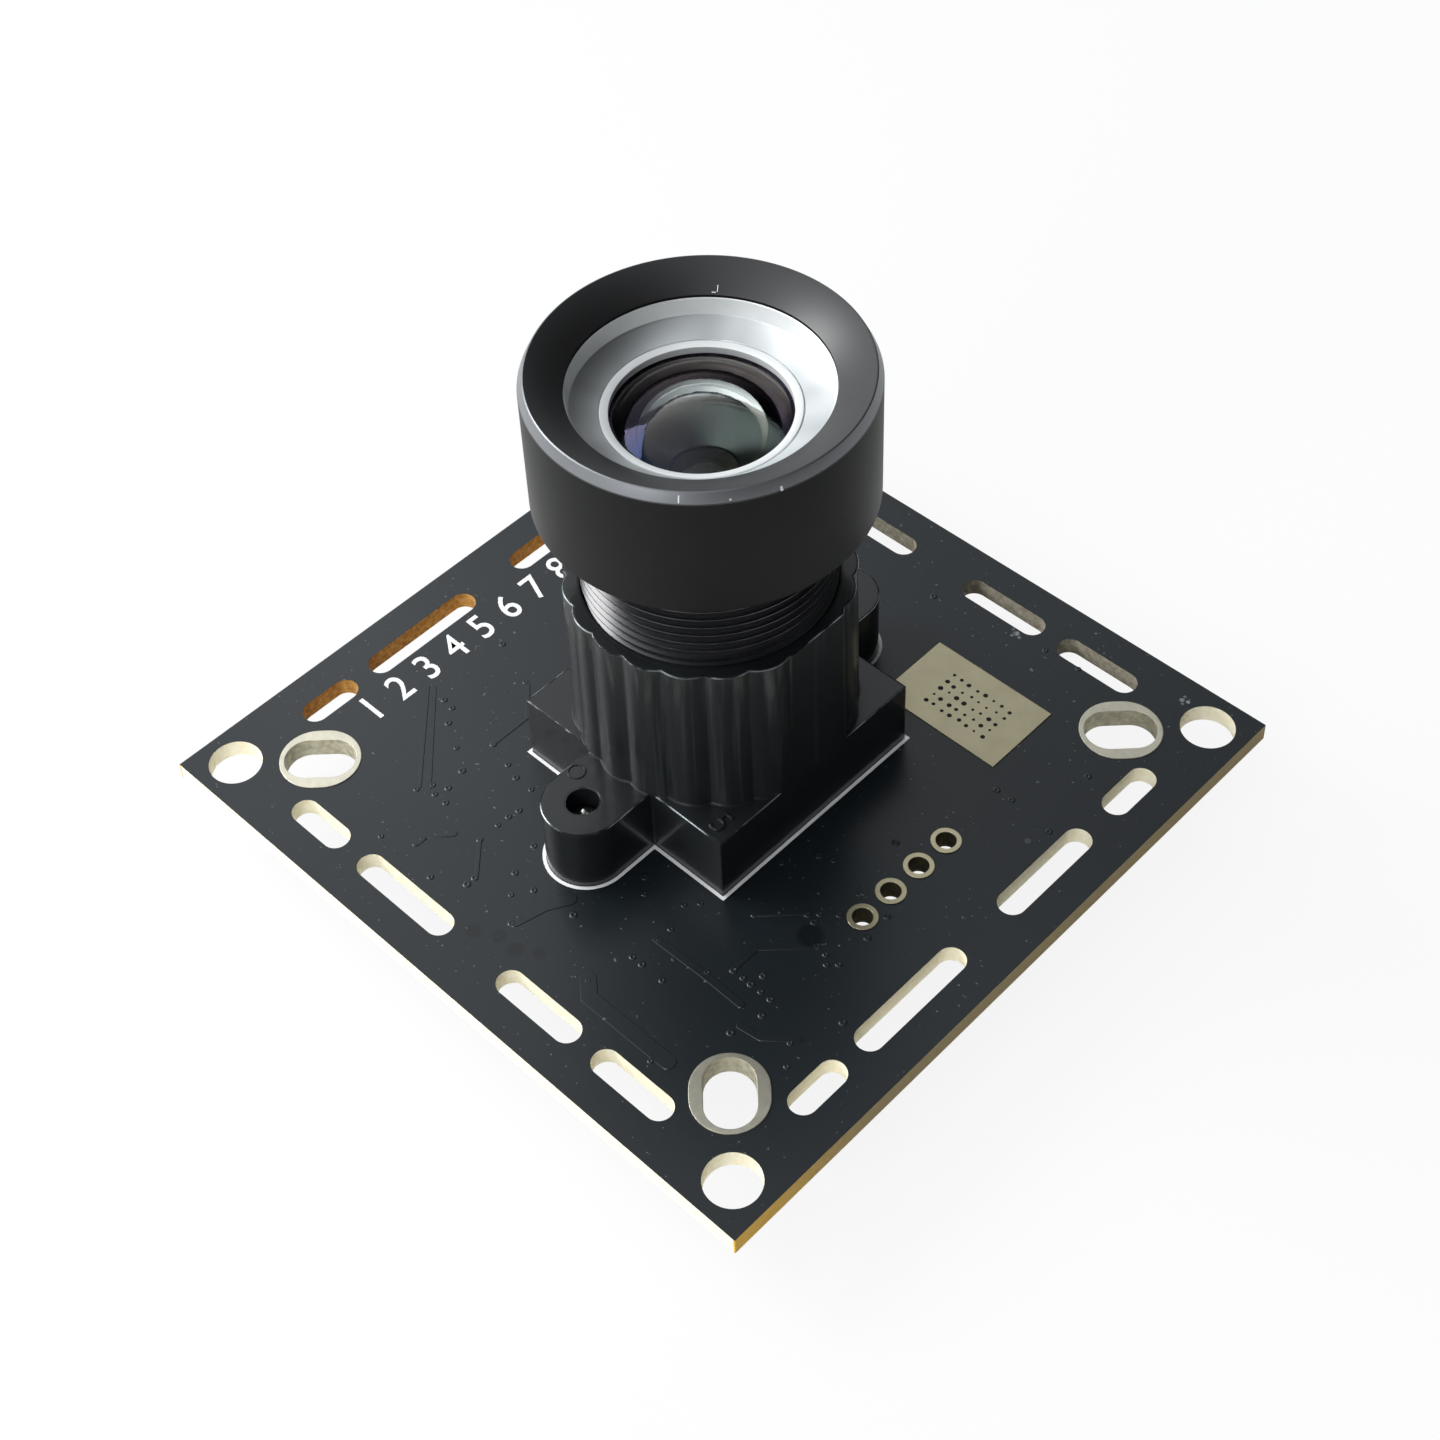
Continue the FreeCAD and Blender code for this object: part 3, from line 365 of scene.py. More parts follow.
@dataclass(frozen=True)
class MouldedPlastic(Finish):
    """Black plastic from a polished mould, with pale upright streaks up the lobed barrel painted as its
    highlights.

    Attributes:
        line_width: width in millimetres of the painted highlight streaks.
        highlight_streak_length: their length.
        highlight_streak_colour: their colour.
        reach: the radius that they stay inside.
        start: the level that they start at.
    """

    line_width: float = 0.35
    highlight_streak_length: float = 12.0
    highlight_streak_colour: str = "4a4f52"
    reach: float = 7.05
    start: float = 8.4

    def paint(self, graph: Graph) -> Links:
        """Paint pale upright streaks over the black, as painted highlights."""
        across, along = 1.0 / (self.line_width * MM), 1.0 / (self.highlight_streak_length * MM)
        stretched = graph.vector("MULTIPLY", graph.place, (across, across, along))
        lines = graph.add("TexNoise", {"Vector": stretched, "Scale": 1.0, "Detail": 3.0}).outputs["Fac"]
        # Pale upright streaks: painted highlights of the lobes, not marks in the plastic.
        share = graph.spread(lines, 0.56, 0.8, 0.0, 0.5)
        for limit in (
            graph.math("LESS_THAN", graph.levelness(), 0.3),
            graph.math("LESS_THAN", graph.radius(), self.reach * MM),
            graph.math("GREATER_THAN", graph.split(graph.place)[2], self.start * MM),
        ):
            share = graph.math("MULTIPLY", share, limit)
        body = graph.vary(graph.noise(graph.place, 1.5, 4.0), self.colour, 0.75, 1.2)
        return {"Base Color": graph.mix(share, body, self.highlight_streak_colour)}


@dataclass(frozen=True)
class SheenEdge(Finish):
    """A moulded edge strip with pale metal-like patches painted on as sheen, standing for the highlights of
    the rounded edges, and dull between them.
    """

    sheen_tone: str = "8a9295"
    patch: float = 1.1

    def paint(self, graph: Graph) -> Links:
        """Paint pale patches along the edge: painted sheen for its highlights."""
        # Pale patches: painted sheen, the highlights of the rounded edges.
        share = graph.spread(graph.noise(graph.place, self.patch, 4.0), 0.4, 0.62, smooth=True)
        return {"Base Color": graph.mix(share, self.colour, self.sheen_tone)}


@dataclass(frozen=True)
class TinEnded(Finish):
    """A ceramic part, lying along X, whose two ends are dipped in tin."""

    middle: float = 0.0
    half: float = 0.8
    cap: float = 0.3
    tin: str = "c9c9c6"

    def paint(self, graph: Graph) -> Links:
        """Paint tin where a point is near an end."""
        along = graph.math("SUBTRACT", graph.split(graph.place)[0], self.middle * MM)
        is_tin = graph.math("GREATER_THAN", graph.math("ABSOLUTE", along), (self.half - self.cap) * MM)
        body = graph.vary(graph.noise(graph.place, 0.2), self.colour, 0.8, 1.2)
        return {"Base Color": graph.mix(is_tin, body, self.tin), "Metallic": is_tin}


@dataclass(frozen=True)
class PlatedHole(Finish):
    """Gold plating on a land and down its hole, whose wall tone is painted: dark shade in the narrow holes,
    pale light in the wide slots.
    """

    wall: str = "544e3a"

    def paint(self, graph: Graph) -> Links:
        """Paint gold on the land, and down the hole the wall tone with its painted shade and light."""
        is_land = graph.math("GREATER_THAN", graph.levelness(), 0.5)
        land = graph.vary(graph.noise(graph.place, 0.4, 3.0), self.colour, 0.8, 1.15)
        # The wall tone is painted light and shade: dark down the holes, pale in the slots.
        hole = graph.vary(graph.noise(graph.place, 0.3, 4.0), self.wall, 0.4, 1.5)
        rough = graph.spread(is_land, 0.0, 1.0, 0.6, self.roughness)
        return {"Base Color": graph.mix(is_land, hole, land), "Roughness": rough}


@dataclass(frozen=True)
class OpticalGlass(Finish):
    """Polished optical glass with a thin reflection-cutting coating, its thickness in nanometres."""

    film: float = 0.0

    def paint(self, graph: Graph) -> Links:
        """Make the shader clear and coated."""
        return {"Transmission Weight": 1.0, "Thin Film Thickness": self.film, "Thin Film IOR": 1.38}


FINISHES: dict[str, Finish] = {
    # Cured epoxy mask: deep blue-black, satin, a soft broad reflection.
    "mask": BoardLaminate("black_solder_mask", "171d21", 0.3, grain=0.5, depth=0.003, slot="black_laminate"),
    # Immersion gold over nickel: pale champagne, softly scratched.
    "gold": Finish("immersion_gold", "bdb496", 0.4, 1.0, grain=0.12, rounding=0.05),
    # The same gold on the plated holes' lands: brighter and thinner, with dark brown barrels of painted
    # shade.
    "plated_hole": PlatedHole("gold_plated_hole", "cfc6a4", 0.3, 1.0, grain=0.2, rounding=0.05),
    # And in the wide slots, where the light reaches it: paler, with pale walls painted as lit.
    "plated_slot": PlatedHole(
        "gold_plated_slot", "dad5c2", 0.36, 1.0, grain=0.2, rounding=0.05, wall="d6d0ba",
    ),
    # Moulded black plastic: glossy, with faint pale streaks down its sides painted as highlights, and bright
    # rounded edges.
    "moulding": MouldedPlastic(
        "moulded_black_plastic", "1a1d1f", 0.36, ior=1.52, specular=0.25, coat=0.6, coat_roughness=0.12,
        grain=0.7, depth=0.006, rounding=0.17, slot="black_moulding",
    ),
    # Strips along the plastic's upper edges, with pale patches of painted sheen standing for their
    # highlights.
    "worn_edge": SheenEdge(
        "painted_edge_sheen", "191b1d", 0.26, 0.8, grain=0.5, depth=0.008, slot="black_moulding",
    ),
    # Black anodised aluminium, turned: satin with fine rings on the outside of the head.
    "anodised": TurnedMetal(
        "black_anodised_aluminium", "121213", 0.42, specular=0.16, pitch=0.06, depth=0.0012,
        slot="black_anodised",
    ),
    # The same in the funnel, cut smoother, so it catches more of the room.
    "funnel": TurnedMetal("smooth_anodised_funnel", "151516", 0.42, specular=0.8, pitch=0.06, depth=0.0008),
    # The rim's chamfer: grey bare-looking metal, painted in as the bright reflection that the chamfer catches
    # from above the front.
    "cut_edge": TurnedMetal("chamfer_painted_reflection", "86888b", 0.4, 1.0, pitch=0.05, depth=0.001),
    # The thread, cut after the turning: glossy crests that each draw a bright line.
    "thread": TurnedMetal(
        "cut_anodised_thread", "15161a", 0.22, ior=1.6, specular=0.75, pitch=0.06, depth=0.0008,
        slot="black_anodised",
    ),
    # Blackened brass and bores inside the lens: matt, so they swallow the light.
    "dull_black": Finish("blackened_inner_metal", "08090a", 0.7, specular=0.2),
    # Etched aluminium under the front glass: satin, so light spreads over it softly.
    "cone_metal": Finish("etched_aluminium_cone", "737877", 0.3, 1.0, grain=0.4, slot="bright_aluminium"),
    # Bare aluminium, turned: bright with concentric streaks, and lighter and darker wedges round the axis
    # painted as its fanned reflection.
    "bright": TurnedMetal(
        "turned_aluminium", "e2e5e5", 0.36, 1.0, pitch=0.1, depth=0.001, sector=0.25, slot="bright_aluminium",
    ),
    # The same ring's upright wall under its clear anodised film: milky, so it spreads the light evenly.
    "bright_wall": TurnedMetal(
        "clear_anodised_wall", "f0f2f2", 0.55, 0.55, pitch=0.1, slot="bright_aluminium",
    ),
    # Polished crown and flint glass under its coating: clear, with faint coloured reflections.
    "front_glass": OpticalGlass(
        "coated_front_glass", "e6ece8", 0.0, ior=1.6, film=118.0, slot="coated_glass",
    ),
    "inner_glass": OpticalGlass("inner_lens_glass", "dce3df", 0.0, ior=1.52, film=108.0, slot="inner_glass"),
    "filter": OpticalGlass("infrared_filter_glass", "a9dfe6", 0.0, ior=1.52, film=520.0),
    # Polished silicon in its dark ceramic: a violet mirror in a matt frame.
    "silicon": Finish("polished_silicon", "4a4458", 0.12, 1.0),
    "sensor": Finish("sensor_package_ceramic", "26262a", 0.5, grain=0.1, rounding=0.05),
    # Screened white epoxy ink: matt, a little uneven at its edges.
    "ink": Finish("white_screened_ink", "fafcfc", 0.55, grain=0.12, depth=0.006, slot="black_laminate"),
    # Plated screws, tinned leads and reflowed joints: bright metals, from smooth to lumpy.
    "steel": Finish("nickel_plated_steel", "bdbdbb", 0.28, 1.0, grain=0.2, rounding=0.08),
    "tin": Finish("tin_plating", "c6c6c3", 0.34, 1.0, grain=0.12, rounding=0.03),
    "solder": Finish("reflowed_solder", "b9bab9", 0.22, 1.0, slot="tinned_metal"),
    "can": Finish("drawn_steel_can", "c9c9c7", 0.3, 1.0, grain=0.6, depth=0.003, rounding=0.25),
    # Injected nylon: creamy and softly glossy.
    "cream": Finish("cream_nylon", "e6dfc9", 0.48, ior=1.53, grain=0.15, rounding=0.1),
    # Chip epoxy, sand-textured by its mould, and its polished mark; pressed ferrite is coarser.
    "chip": Finish("moulded_chip_epoxy", "1b1b1c", 0.6, grain=0.05, depth=0.004, rounding=0.06),
    "chip_mark": Finish("polished_chip_mark", "222223", 0.2, grain=0.2, depth=0.001, slot="chip_plastic"),
    "ferrite": Finish("ferrite_shield", "2c2d2f", 0.5, grain=0.08, depth=0.004, rounding=0.1),
    # The barrel of an open via, which no light reaches.
    "hole_dark": Finish("unlit_via_barrel", "0d0b08", 0.8, slot="gold_plating"),
}


def box_mm(name: str) -> tuple[Vector, Vector]:
    """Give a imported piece's lowest and highest corners in millimetres."""
    low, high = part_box(name)
    return low / MM, high / MM


def shift(x: float, y: float, z: float) -> Matrix:
    """Give a move in millimetres."""
    return Matrix.Translation(Vector((x, y, z)) * MM)


def sized(x: float, y: float, z: float) -> Matrix:
    """Give a scaling of a unit cube to a size in millimetres."""
    return Matrix.Diagonal((*(Vector((x, y, z)) * MM), 1.0))


def points_of(items: Iterable[object]) -> list[bmesh.types.BMVert]:
    """Pick the points out of what a mesh operator gave back."""
    return [item for item in items if isinstance(item, bmesh.types.BMVert)]


def outward(shape: Mesh) -> Mesh:
    """Turn a mesh's faces outwards, and give it back."""
    bmesh.ops.recalc_face_normals(shape, faces=shape.faces[:])
    return shape


def turned(section: list[Point], steps: int, closed: bool = True) -> Mesh:
    """Turn half a section about the lens axis.

    Args:
        section: (radius, level) points in millimetres, in order round the section.
        steps: how many faces go round.
        closed: whether the last point joins the first.

    Returns:
        The turned mesh, with its faces outwards.
    """
    shape = bmesh.new()
    corners = [shape.verts.new((radius * MM, 0.0, level * MM)) for radius, level in section]
    pairs = list(zip(corners, corners[1:]))
    if closed:
        pairs.append((corners[-1], corners[0]))
    edges = [shape.edges.new(pair) for pair in pairs]
    bmesh.ops.spin(
        shape, geom=corners + edges, cent=(0, 0, 0), axis=(0, 0, 1), angle=2 * math.pi, steps=steps,
        use_merge=True,
    )
    bmesh.ops.remove_doubles(shape, verts=shape.verts[:], dist=1e-7)
    return outward(shape)


def cap_points(radius: float, clear: float, level: float, rising: bool, count: int = 14) -> list[Point]:
    """Give (radius, level) points of a spherical face, from its edge to the axis.

    Args:
        radius: the face's radius of curvature.
        clear: where the face's edge is.
        level: the level of that edge.
        rising: whether the middle lies above the edge.
        count: how many steps the curve has.

    Returns:
        The points, in millimetres.
    """
    start = math.asin(clear / radius)
    sign = 1 if rising else -1
    angles = [start * (1 - step / count) for step in range(count + 1)]
    return [(radius * math.sin(a), level + sign * radius * (math.cos(a) - math.cos(start))) for a in angles]


def thicken(shape: Mesh, height: float) -> Mesh:
    """Give a mesh's flat faces a thickness in millimetres, up or down, and give it back."""
    grown = bmesh.ops.extrude_face_region(shape, geom=shape.faces[:])["geom"]
    bmesh.ops.translate(shape, verts=points_of(grown), vec=(0, 0, height * MM))
    return outward(shape)


def lettering(words: str, size: float, thick: float, boldness: float) -> Mesh:
    """Make plain numbers as a solid mesh lying flat, with its lower left corner at the origin.

    Args:
        words: the numbers.
        size: the type size in millimetres.
        thick: how thick they are.
        boldness: how much each stroke grows.

    Returns:
        The mesh, in metres.
    """
    text = bpy.data.curves.new("numbers_text", "FONT")
    text.body = words
    text.size = size * MM
    text.extrude = thick / 2 * MM
    text.offset = boldness * MM
    text.space_character = 1.12
    holder = bpy.data.objects.new("numbers_text", text)
    bpy.context.scene.collection.objects.link(holder)
    bpy.context.view_layer.update()
    mesh = bpy.data.meshes.new_from_object(holder.evaluated_get(bpy.context.evaluated_depsgraph_get()))
    bpy.data.objects.remove(holder)
    shape = bmesh.new()
    shape.from_mesh(mesh)
    bmesh.ops.remove_doubles(shape, verts=shape.verts[:], dist=1e-7)
    return outward(shape)


def raise_outline(corners: list[Point], width: float, level: float, height: float) -> Mesh:
    """Make a thin raised line along the inside of a closed outline.

    Args:
        corners: the outline's corners in millimetres.
        width: the line's width.
        level: the level that it lies on.
        height: how far it rises, or falls where this is negative.

    Returns:
        The line's mesh.
    """
    shape = bmesh.new()
    face = shape.faces.new([shape.verts.new((x * MM, y * MM, level * MM)) for x, y in corners])
    outward(shape)
    bmesh.ops.inset_region(shape, faces=[face], thickness=width * MM, use_boundary=True, use_even_offset=True)
    bmesh.ops.delete(shape, geom=[face], context="FACES_ONLY")
    return thicken(shape, height)


def join_hull(shape: Mesh, verts: list[bmesh.types.BMVert]) -> None:
    """Replace the faces between some points by the convex solid round them."""
    own = set(verts)
    old = [edge for edge in shape.edges if edge.verts[0] in own]
    bmesh.ops.delete(shape, geom=old, context="EDGES_FACES")
    hull = bmesh.ops.convex_hull(shape, input=verts)
    inside = points_of(hull["geom_interior"] + hull["geom_unused"])
    bmesh.ops.delete(shape, geom=list(set(inside)), context="VERTS")


def raise_tracks(tracks: Tracks, level: float, height: float, side: Side) -> Mesh:
    """Raise copper tracks under the mask, with sloped sides and round ends.

    Args:
        tracks: each track's width, and its route's x and y values in turn, in millimetres.
        level: the level that they lie on.
        height: how far they rise from it; each run rises a hair more than the last.
        side: the board's face.

    Returns:
        The tracks' mesh.
    """
    shape = bmesh.new()
    high = height
    for width, route in tracks:
        stops = list(zip(route[::2], route[1::2]))
        for run in zip(stops, stops[1:]):
            high += 0.0004
            verts = []
            for x, y in run:
                verts += bmesh.ops.create_cone(
                    shape, cap_ends=True, segments=16, radius1=(width / 2 + high) * MM,
                    radius2=width / 2 * MM, depth=high * MM, matrix=shift(x, y, high / 2),
                )["verts"]
            join_hull(shape, verts)
    shape.transform(shift(0, 0, level) @ Matrix.Diagonal((1, 1, side.value, 1)))
    return outward(shape)


def lump_boxes(node: Piece) -> list[tuple[Vector, Vector]]:
    """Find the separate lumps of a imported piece.

    Args:
        node: the piece.

    Returns:
        Each lump's lowest and highest corners in millimetres.
    """
    copy = bmesh.new()
    copy.from_mesh(node.data)
    bmesh.ops.remove_doubles(copy, verts=copy.verts[:], dist=1e-7)
    left = set(copy.verts)
    boxes = []
    while left:
        lump = []
        edge = [left.pop()]
        while edge:
            vert = edge.pop()
            lump.append(vert.co / MM)
            near = {link.other_vert(vert) for link in vert.link_edges} & left
            left -= near
            edge += near
        axes = list(zip(*lump))
        boxes.append(tuple(Vector([pick(axis) for axis in axes]) for pick in (min, max)))
    copy.free()
    return sorted(boxes, key=lambda pair: tuple(pair[0]))


@dataclass
class Unit:
    """Pieces that move with one body, dressed and added to together.

    Places are in millimetres in the shared frame, and so as seen from the front.
    """

    looks: dict[str, Look]
    nodes: dict[str, Piece]
    body: ClassVar[str] = "module"

    def dress(self, look: str, *names: str) -> None:
        """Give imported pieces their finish."""
        for name in names:
            self.nodes[name].data.materials.clear()
            self.nodes[name].data.materials.append(self.looks[look].material)

    def make(self, name: str, shape: Mesh, look: str, smooth: float = 30.0, replaced: str = "") -> Piece:
        """Make a new piece that rides on the unit's body.

        Args:
            name: the piece's name.
            shape: its mesh, in metres, in the shared frame. It is freed.
            look: its finish.
            smooth: edges flatter than this angle in degrees are shaded smooth.
            replaced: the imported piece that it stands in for, if any.

        Returns:
            The new object.
        """
        mesh = bpy.data.meshes.new(name)
        shape.to_mesh(mesh)
        shape.free()
        mesh.shade_smooth()
        mesh.set_sharp_from_angle(angle=math.radians(smooth))
        mesh.materials.append(self.looks[look].material)
        piece = bpy.data.objects.new(name, mesh)
        bpy.context.scene.collection.objects.link(piece)
        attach(piece, self.body)
        if replaced:
            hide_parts(replaced)
        LOG.info("made %s: %d faces", name, len(mesh.polygons))
        return piece


@dataclass
class LensUnit(Unit):
    """The threaded lens: barrel, ring and glasses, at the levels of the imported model.

    Attributes:
        chamfer: height of the rim's chamfer.
        glass_seat: radius of the front glass's seat, and glass_hole that of the hole under it.
        front_under: curve and clear radius of the front glass's underside, and front_face of its face.
        back_thickness: thickness of the third and rear glasses.
        nicks: bright nicks in the rim, each with its azimuth, radius, level, slope and size.
    """

    body: ClassVar[str] = "lens"
    steps: int = 180
    head_height: float = 6.95
    thread_radius: float = 6.0
    thread_pitch: float = 0.5
    thread_depth: float = 0.3
    thread_steps: int = 72
    core_radius: float = 5.6
    edge: float = 0.06
    chamfer: float = 0.48
    glass_seat: float = 5.65
    glass_hole: float = 3.8
    front_edge: float = 5.6
    front_under: Point = (4.6, 3.5)
    front_face: Point = (6.5, 3.9)
    back_thickness: float = 2.8
    cone_hole: float = 1.6
    nicks: tuple[tuple[float, float, float, float, Triple], ...] = (
        (307.5, 7.75, 29.21, 58.0, (0.44, 0.05, 0.045)),
        (339.0, 7.86, 29.03, 58.0, (0.2, 0.1, 0.045)),
        (126.5, 6.2, 28.68, -29.5, (0.34, 0.035, 0.035)),
        (128.0, 6.04, 28.59, -29.5, (0.045, 0.2, 0.035)),
        (323.0, 7.83, 29.07, 58.0, (0.07, 0.08, 0.045)),
    )

    def build(self) -> None:
        """Build the barrel, its thread, the ring and the glasses, and dress what stays."""
        self.measure()
        self.make_barrel()
        self.make_thread()
        self.make_ring()
        self.make_glasses()
        self.make_second_glass()
        self.make_nicks()
        self.dress("dull_black", "aperture_stop", "front_spacer", "rear_spacer", "rear_retaining_ring")

    def measure(self) -> None:
        """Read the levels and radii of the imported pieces."""
        low, high = box_mm("lens_barrel")
        self.barrel_low, self.head_top, self.head_radius = low.z, high.z, high.x
        self.head_low = self.head_top - self.head_height
        low, high = box_mm("front_retaining_ring")
        self.ring_low, self.ring_top, self.ring_radius = low.z, high.z, high.x
        self.front_low = box_mm("front_glass")[0].z
        self.rear_bore = box_mm("rear_glass")[1].x + 0.05

    def make_barrel(self) -> None:
        """Turn the barrel: head with a chamfered rim and a funnel, and the core under the thread."""
        e = self.edge
        head, core, bore, ring = self.head_radius, self.core_radius, self.rear_bore, self.ring_radius
        end, low, top = self.barrel_low + 0.02, self.head_low, self.head_top
        rim = head - 0.3
        shelf = self.front_low - 0.8
        funnel = self.ring_top + 0.15
        section = [
            (bore, end), (core, end), (core, low), (head - e * 2, low), (head - e, low + e / 2),
            (head, low + e * 2), (head, top - self.chamfer - e), (head - e / 3, top - self.chamfer),
            (rim + e, top - e / 2), (rim, top), (rim - e, top - e / 3),
            (ring + e, funnel + e / 2), (ring, funnel - e / 2), (ring, self.ring_low),
            (self.glass_seat, self.ring_low), (self.glass_seat, self.front_low),
            (self.glass_hole, self.front_low), (self.glass_hole, shelf), (bore, shelf),
        ]
        piece = self.make("lens_barrel_shell", turned(section, self.steps), "anodised", 20.0, "lens_barrel")
        for extra in ("cut_edge", "funnel", "dull_black"):
            piece.data.materials.append(self.looks[extra].material)
        for face in piece.data.polygons:
            radius = face.center.xy.length / MM
            level = face.center.z / MM
            # The rim and its chamfer take the grey painted reflection.
            if level > top - 0.5 and radius > rim:
                face.material_index = 1
            elif level > funnel - e and radius > ring:
                face.material_index = 2
            elif radius < ring and level > self.barrel_low + 1.0:
                face.material_index = 3

    def make_thread(self) -> None:
        """Wind the right-hand thread as one ribbon, cut it level at both ends and close it inside."""
        root = self.thread_radius - self.thread_depth
        crest = self.thread_radius
        pitch = self.thread_pitch
        low = self.barrel_low
        high = self.head_low - 0.35
        turns = math.ceil((high - low) / pitch) + 2
        shape = bmesh.new()
        ribbon = [(root, 0.0), (root, 0.06), (crest, 0.22), (crest, 0.28), (root, 0.44), (root, pitch)]
        corners = [shape.verts.new((r * MM, 0.0, (low - pitch + z) * MM)) for r, z in ribbon]
        edges = [shape.edges.new(pair) for pair in zip(corners, corners[1:])]
        bmesh.ops.spin(
            shape, geom=corners + edges, cent=(0, 0, 0), axis=(0, 0, 1), angle=2 * math.pi * turns,
            steps=self.thread_steps * turns, dvec=(0, 0, pitch / self.thread_steps * MM),
        )
        bmesh.ops.remove_doubles(shape, verts=shape.verts[:], dist=2e-6)
        rims = []
        for level, way in ((low, -1), (high, 1)):
            cut = bmesh.ops.bisect_plane(
                shape, geom=shape.verts[:] + shape.edges[:] + shape.faces[:], dist=1e-8,
                plane_co=(0, 0, level * MM), plane_no=(0, 0, way), clear_outer=True,
            )
            rim = [item for item in cut["geom_cut"] if isinstance(item, bmesh.types.BMEdge)]
            inner = set(points_of(bmesh.ops.extrude_edge_only(shape, edges=rim)["geom"]))
            for vert in inner:
                vert.co.xy = vert.co.xy.normalized() * (self.core_radius - 0.05) * MM
            rims += [edge for edge in shape.edges if inner.issuperset(edge.verts)]
        bmesh.ops.bridge_loops(shape, edges=rims)
        self.make("lens_thread", outward(shape), "thread", 25.0, "lens_barrel")

    def make_ring(self) -> None:
        """Turn the bright cup-shaped ring round the front glass."""
        r = self.ring_radius
        top = self.ring_top
        floor = top - 0.92
        section = [
            (4.08, self.ring_low), (r, self.ring_low), (r, top - 0.02), (r - 0.03, top),
            (r - 0.07, top - 0.03), (r - 0.17, floor + 0.05), (r - 0.22, floor), (4.52, floor - 0.36),
            (4.49, floor - 0.42), (4.46, floor - 0.36), (4.43, floor - 0.35), (4.08, floor - 0.43),
        ]
        cup = turned(section, self.steps)
        piece = self.make("front_ring_cup", cup, "bright", 35.0, "front_retaining_ring")
        piece.data.materials.append(self.looks["bright_wall"].material)
        for face in piece.data.polygons:
            if face.center.z > (floor + 0.03) * MM or face.center.xy.length < 4.42 * MM:
                face.material_index = 1

    def make_glasses(self) -> None:
        """Turn the front, third and rear glasses with smooth spherical faces."""
        low = self.front_low
        high = self.ring_low
        front = cap_points(*self.front_under, low, True)[::-1]
        front += [(self.front_edge, low), (self.front_edge, high)]
        front += cap_points(*self.front_face, high, True)
        self.make("front_glass_polished", turned(front, 128, False), "front_glass", replaced="front_glass")
        edge = self.rear_bore - 0.05
        clear = 3.7
        for name, curve, hollow in (("third_glass", 11.0, False), ("rear_glass", 9.0, True)):
            base = box_mm(name)[0].z
            if not hollow:
                base += curve - math.sqrt(curve * curve - clear * clear)
            top = base + self.back_thickness
            section = cap_points(curve, clear, base, hollow)[::-1] + [(edge, base), (edge, top)]
            section += cap_points(curve, clear, top, True)
            self.make(name + "_polished", turned(section, 96, False), "inner_glass", replaced=name)

    def make_second_glass(self) -> None:
        """Turn the small second glass and the satin cone that holds it under the front glass."""
        low, high = box_mm("second_glass")
        under, crown, edge = low.z, high.z, high.x - 0.05
        seat = crown - 0.85
        hole = self.cone_hole
        section = [
            (edge, under + 0.05), (edge, seat), (3.75, seat), (3.75, crown - 0.12), (3.65, crown - 0.08),
            (hole + 0.05, under + 0.85), (hole, under + 0.78), (hole, under + 0.2),
            (hole + 0.4, under + 0.05),
        ]
        self.make("second_glass_mount", turned(section, 128), "cone_metal", replaced="second_glass")
        rim = hole - 0.02
        glass = [(0.0, under + 0.3), (rim, under + 0.3)] + cap_points(4.0, rim, under + 0.7, True)
        self.make("second_glass_polished", turned(glass, 64, False), "inner_glass", replaced="second_glass")

    def make_nicks(self) -> None:
        """Scratch the rim through its anodising, where knocks left short bright nicks."""
        shape = bmesh.new()
        for azimuth, radius, level, slope, size in self.nicks:
            where = Matrix.Rotation(math.radians(azimuth), 4, "Z") @ shift(radius, 0, level)
            lie = Matrix.Rotation(math.radians(slope), 4, "Y") @ sized(*size)
            bmesh.ops.create_cube(shape, size=1.0, matrix=where @ lie)
        bmesh.ops.bevel(
            shape, geom=shape.edges[:], offset=0.006 * MM, segments=1, profile=0.5, affect="EDGES",
            material=-1,
        )
        self.make("rim_nicks", outward(shape), "bright_wall")


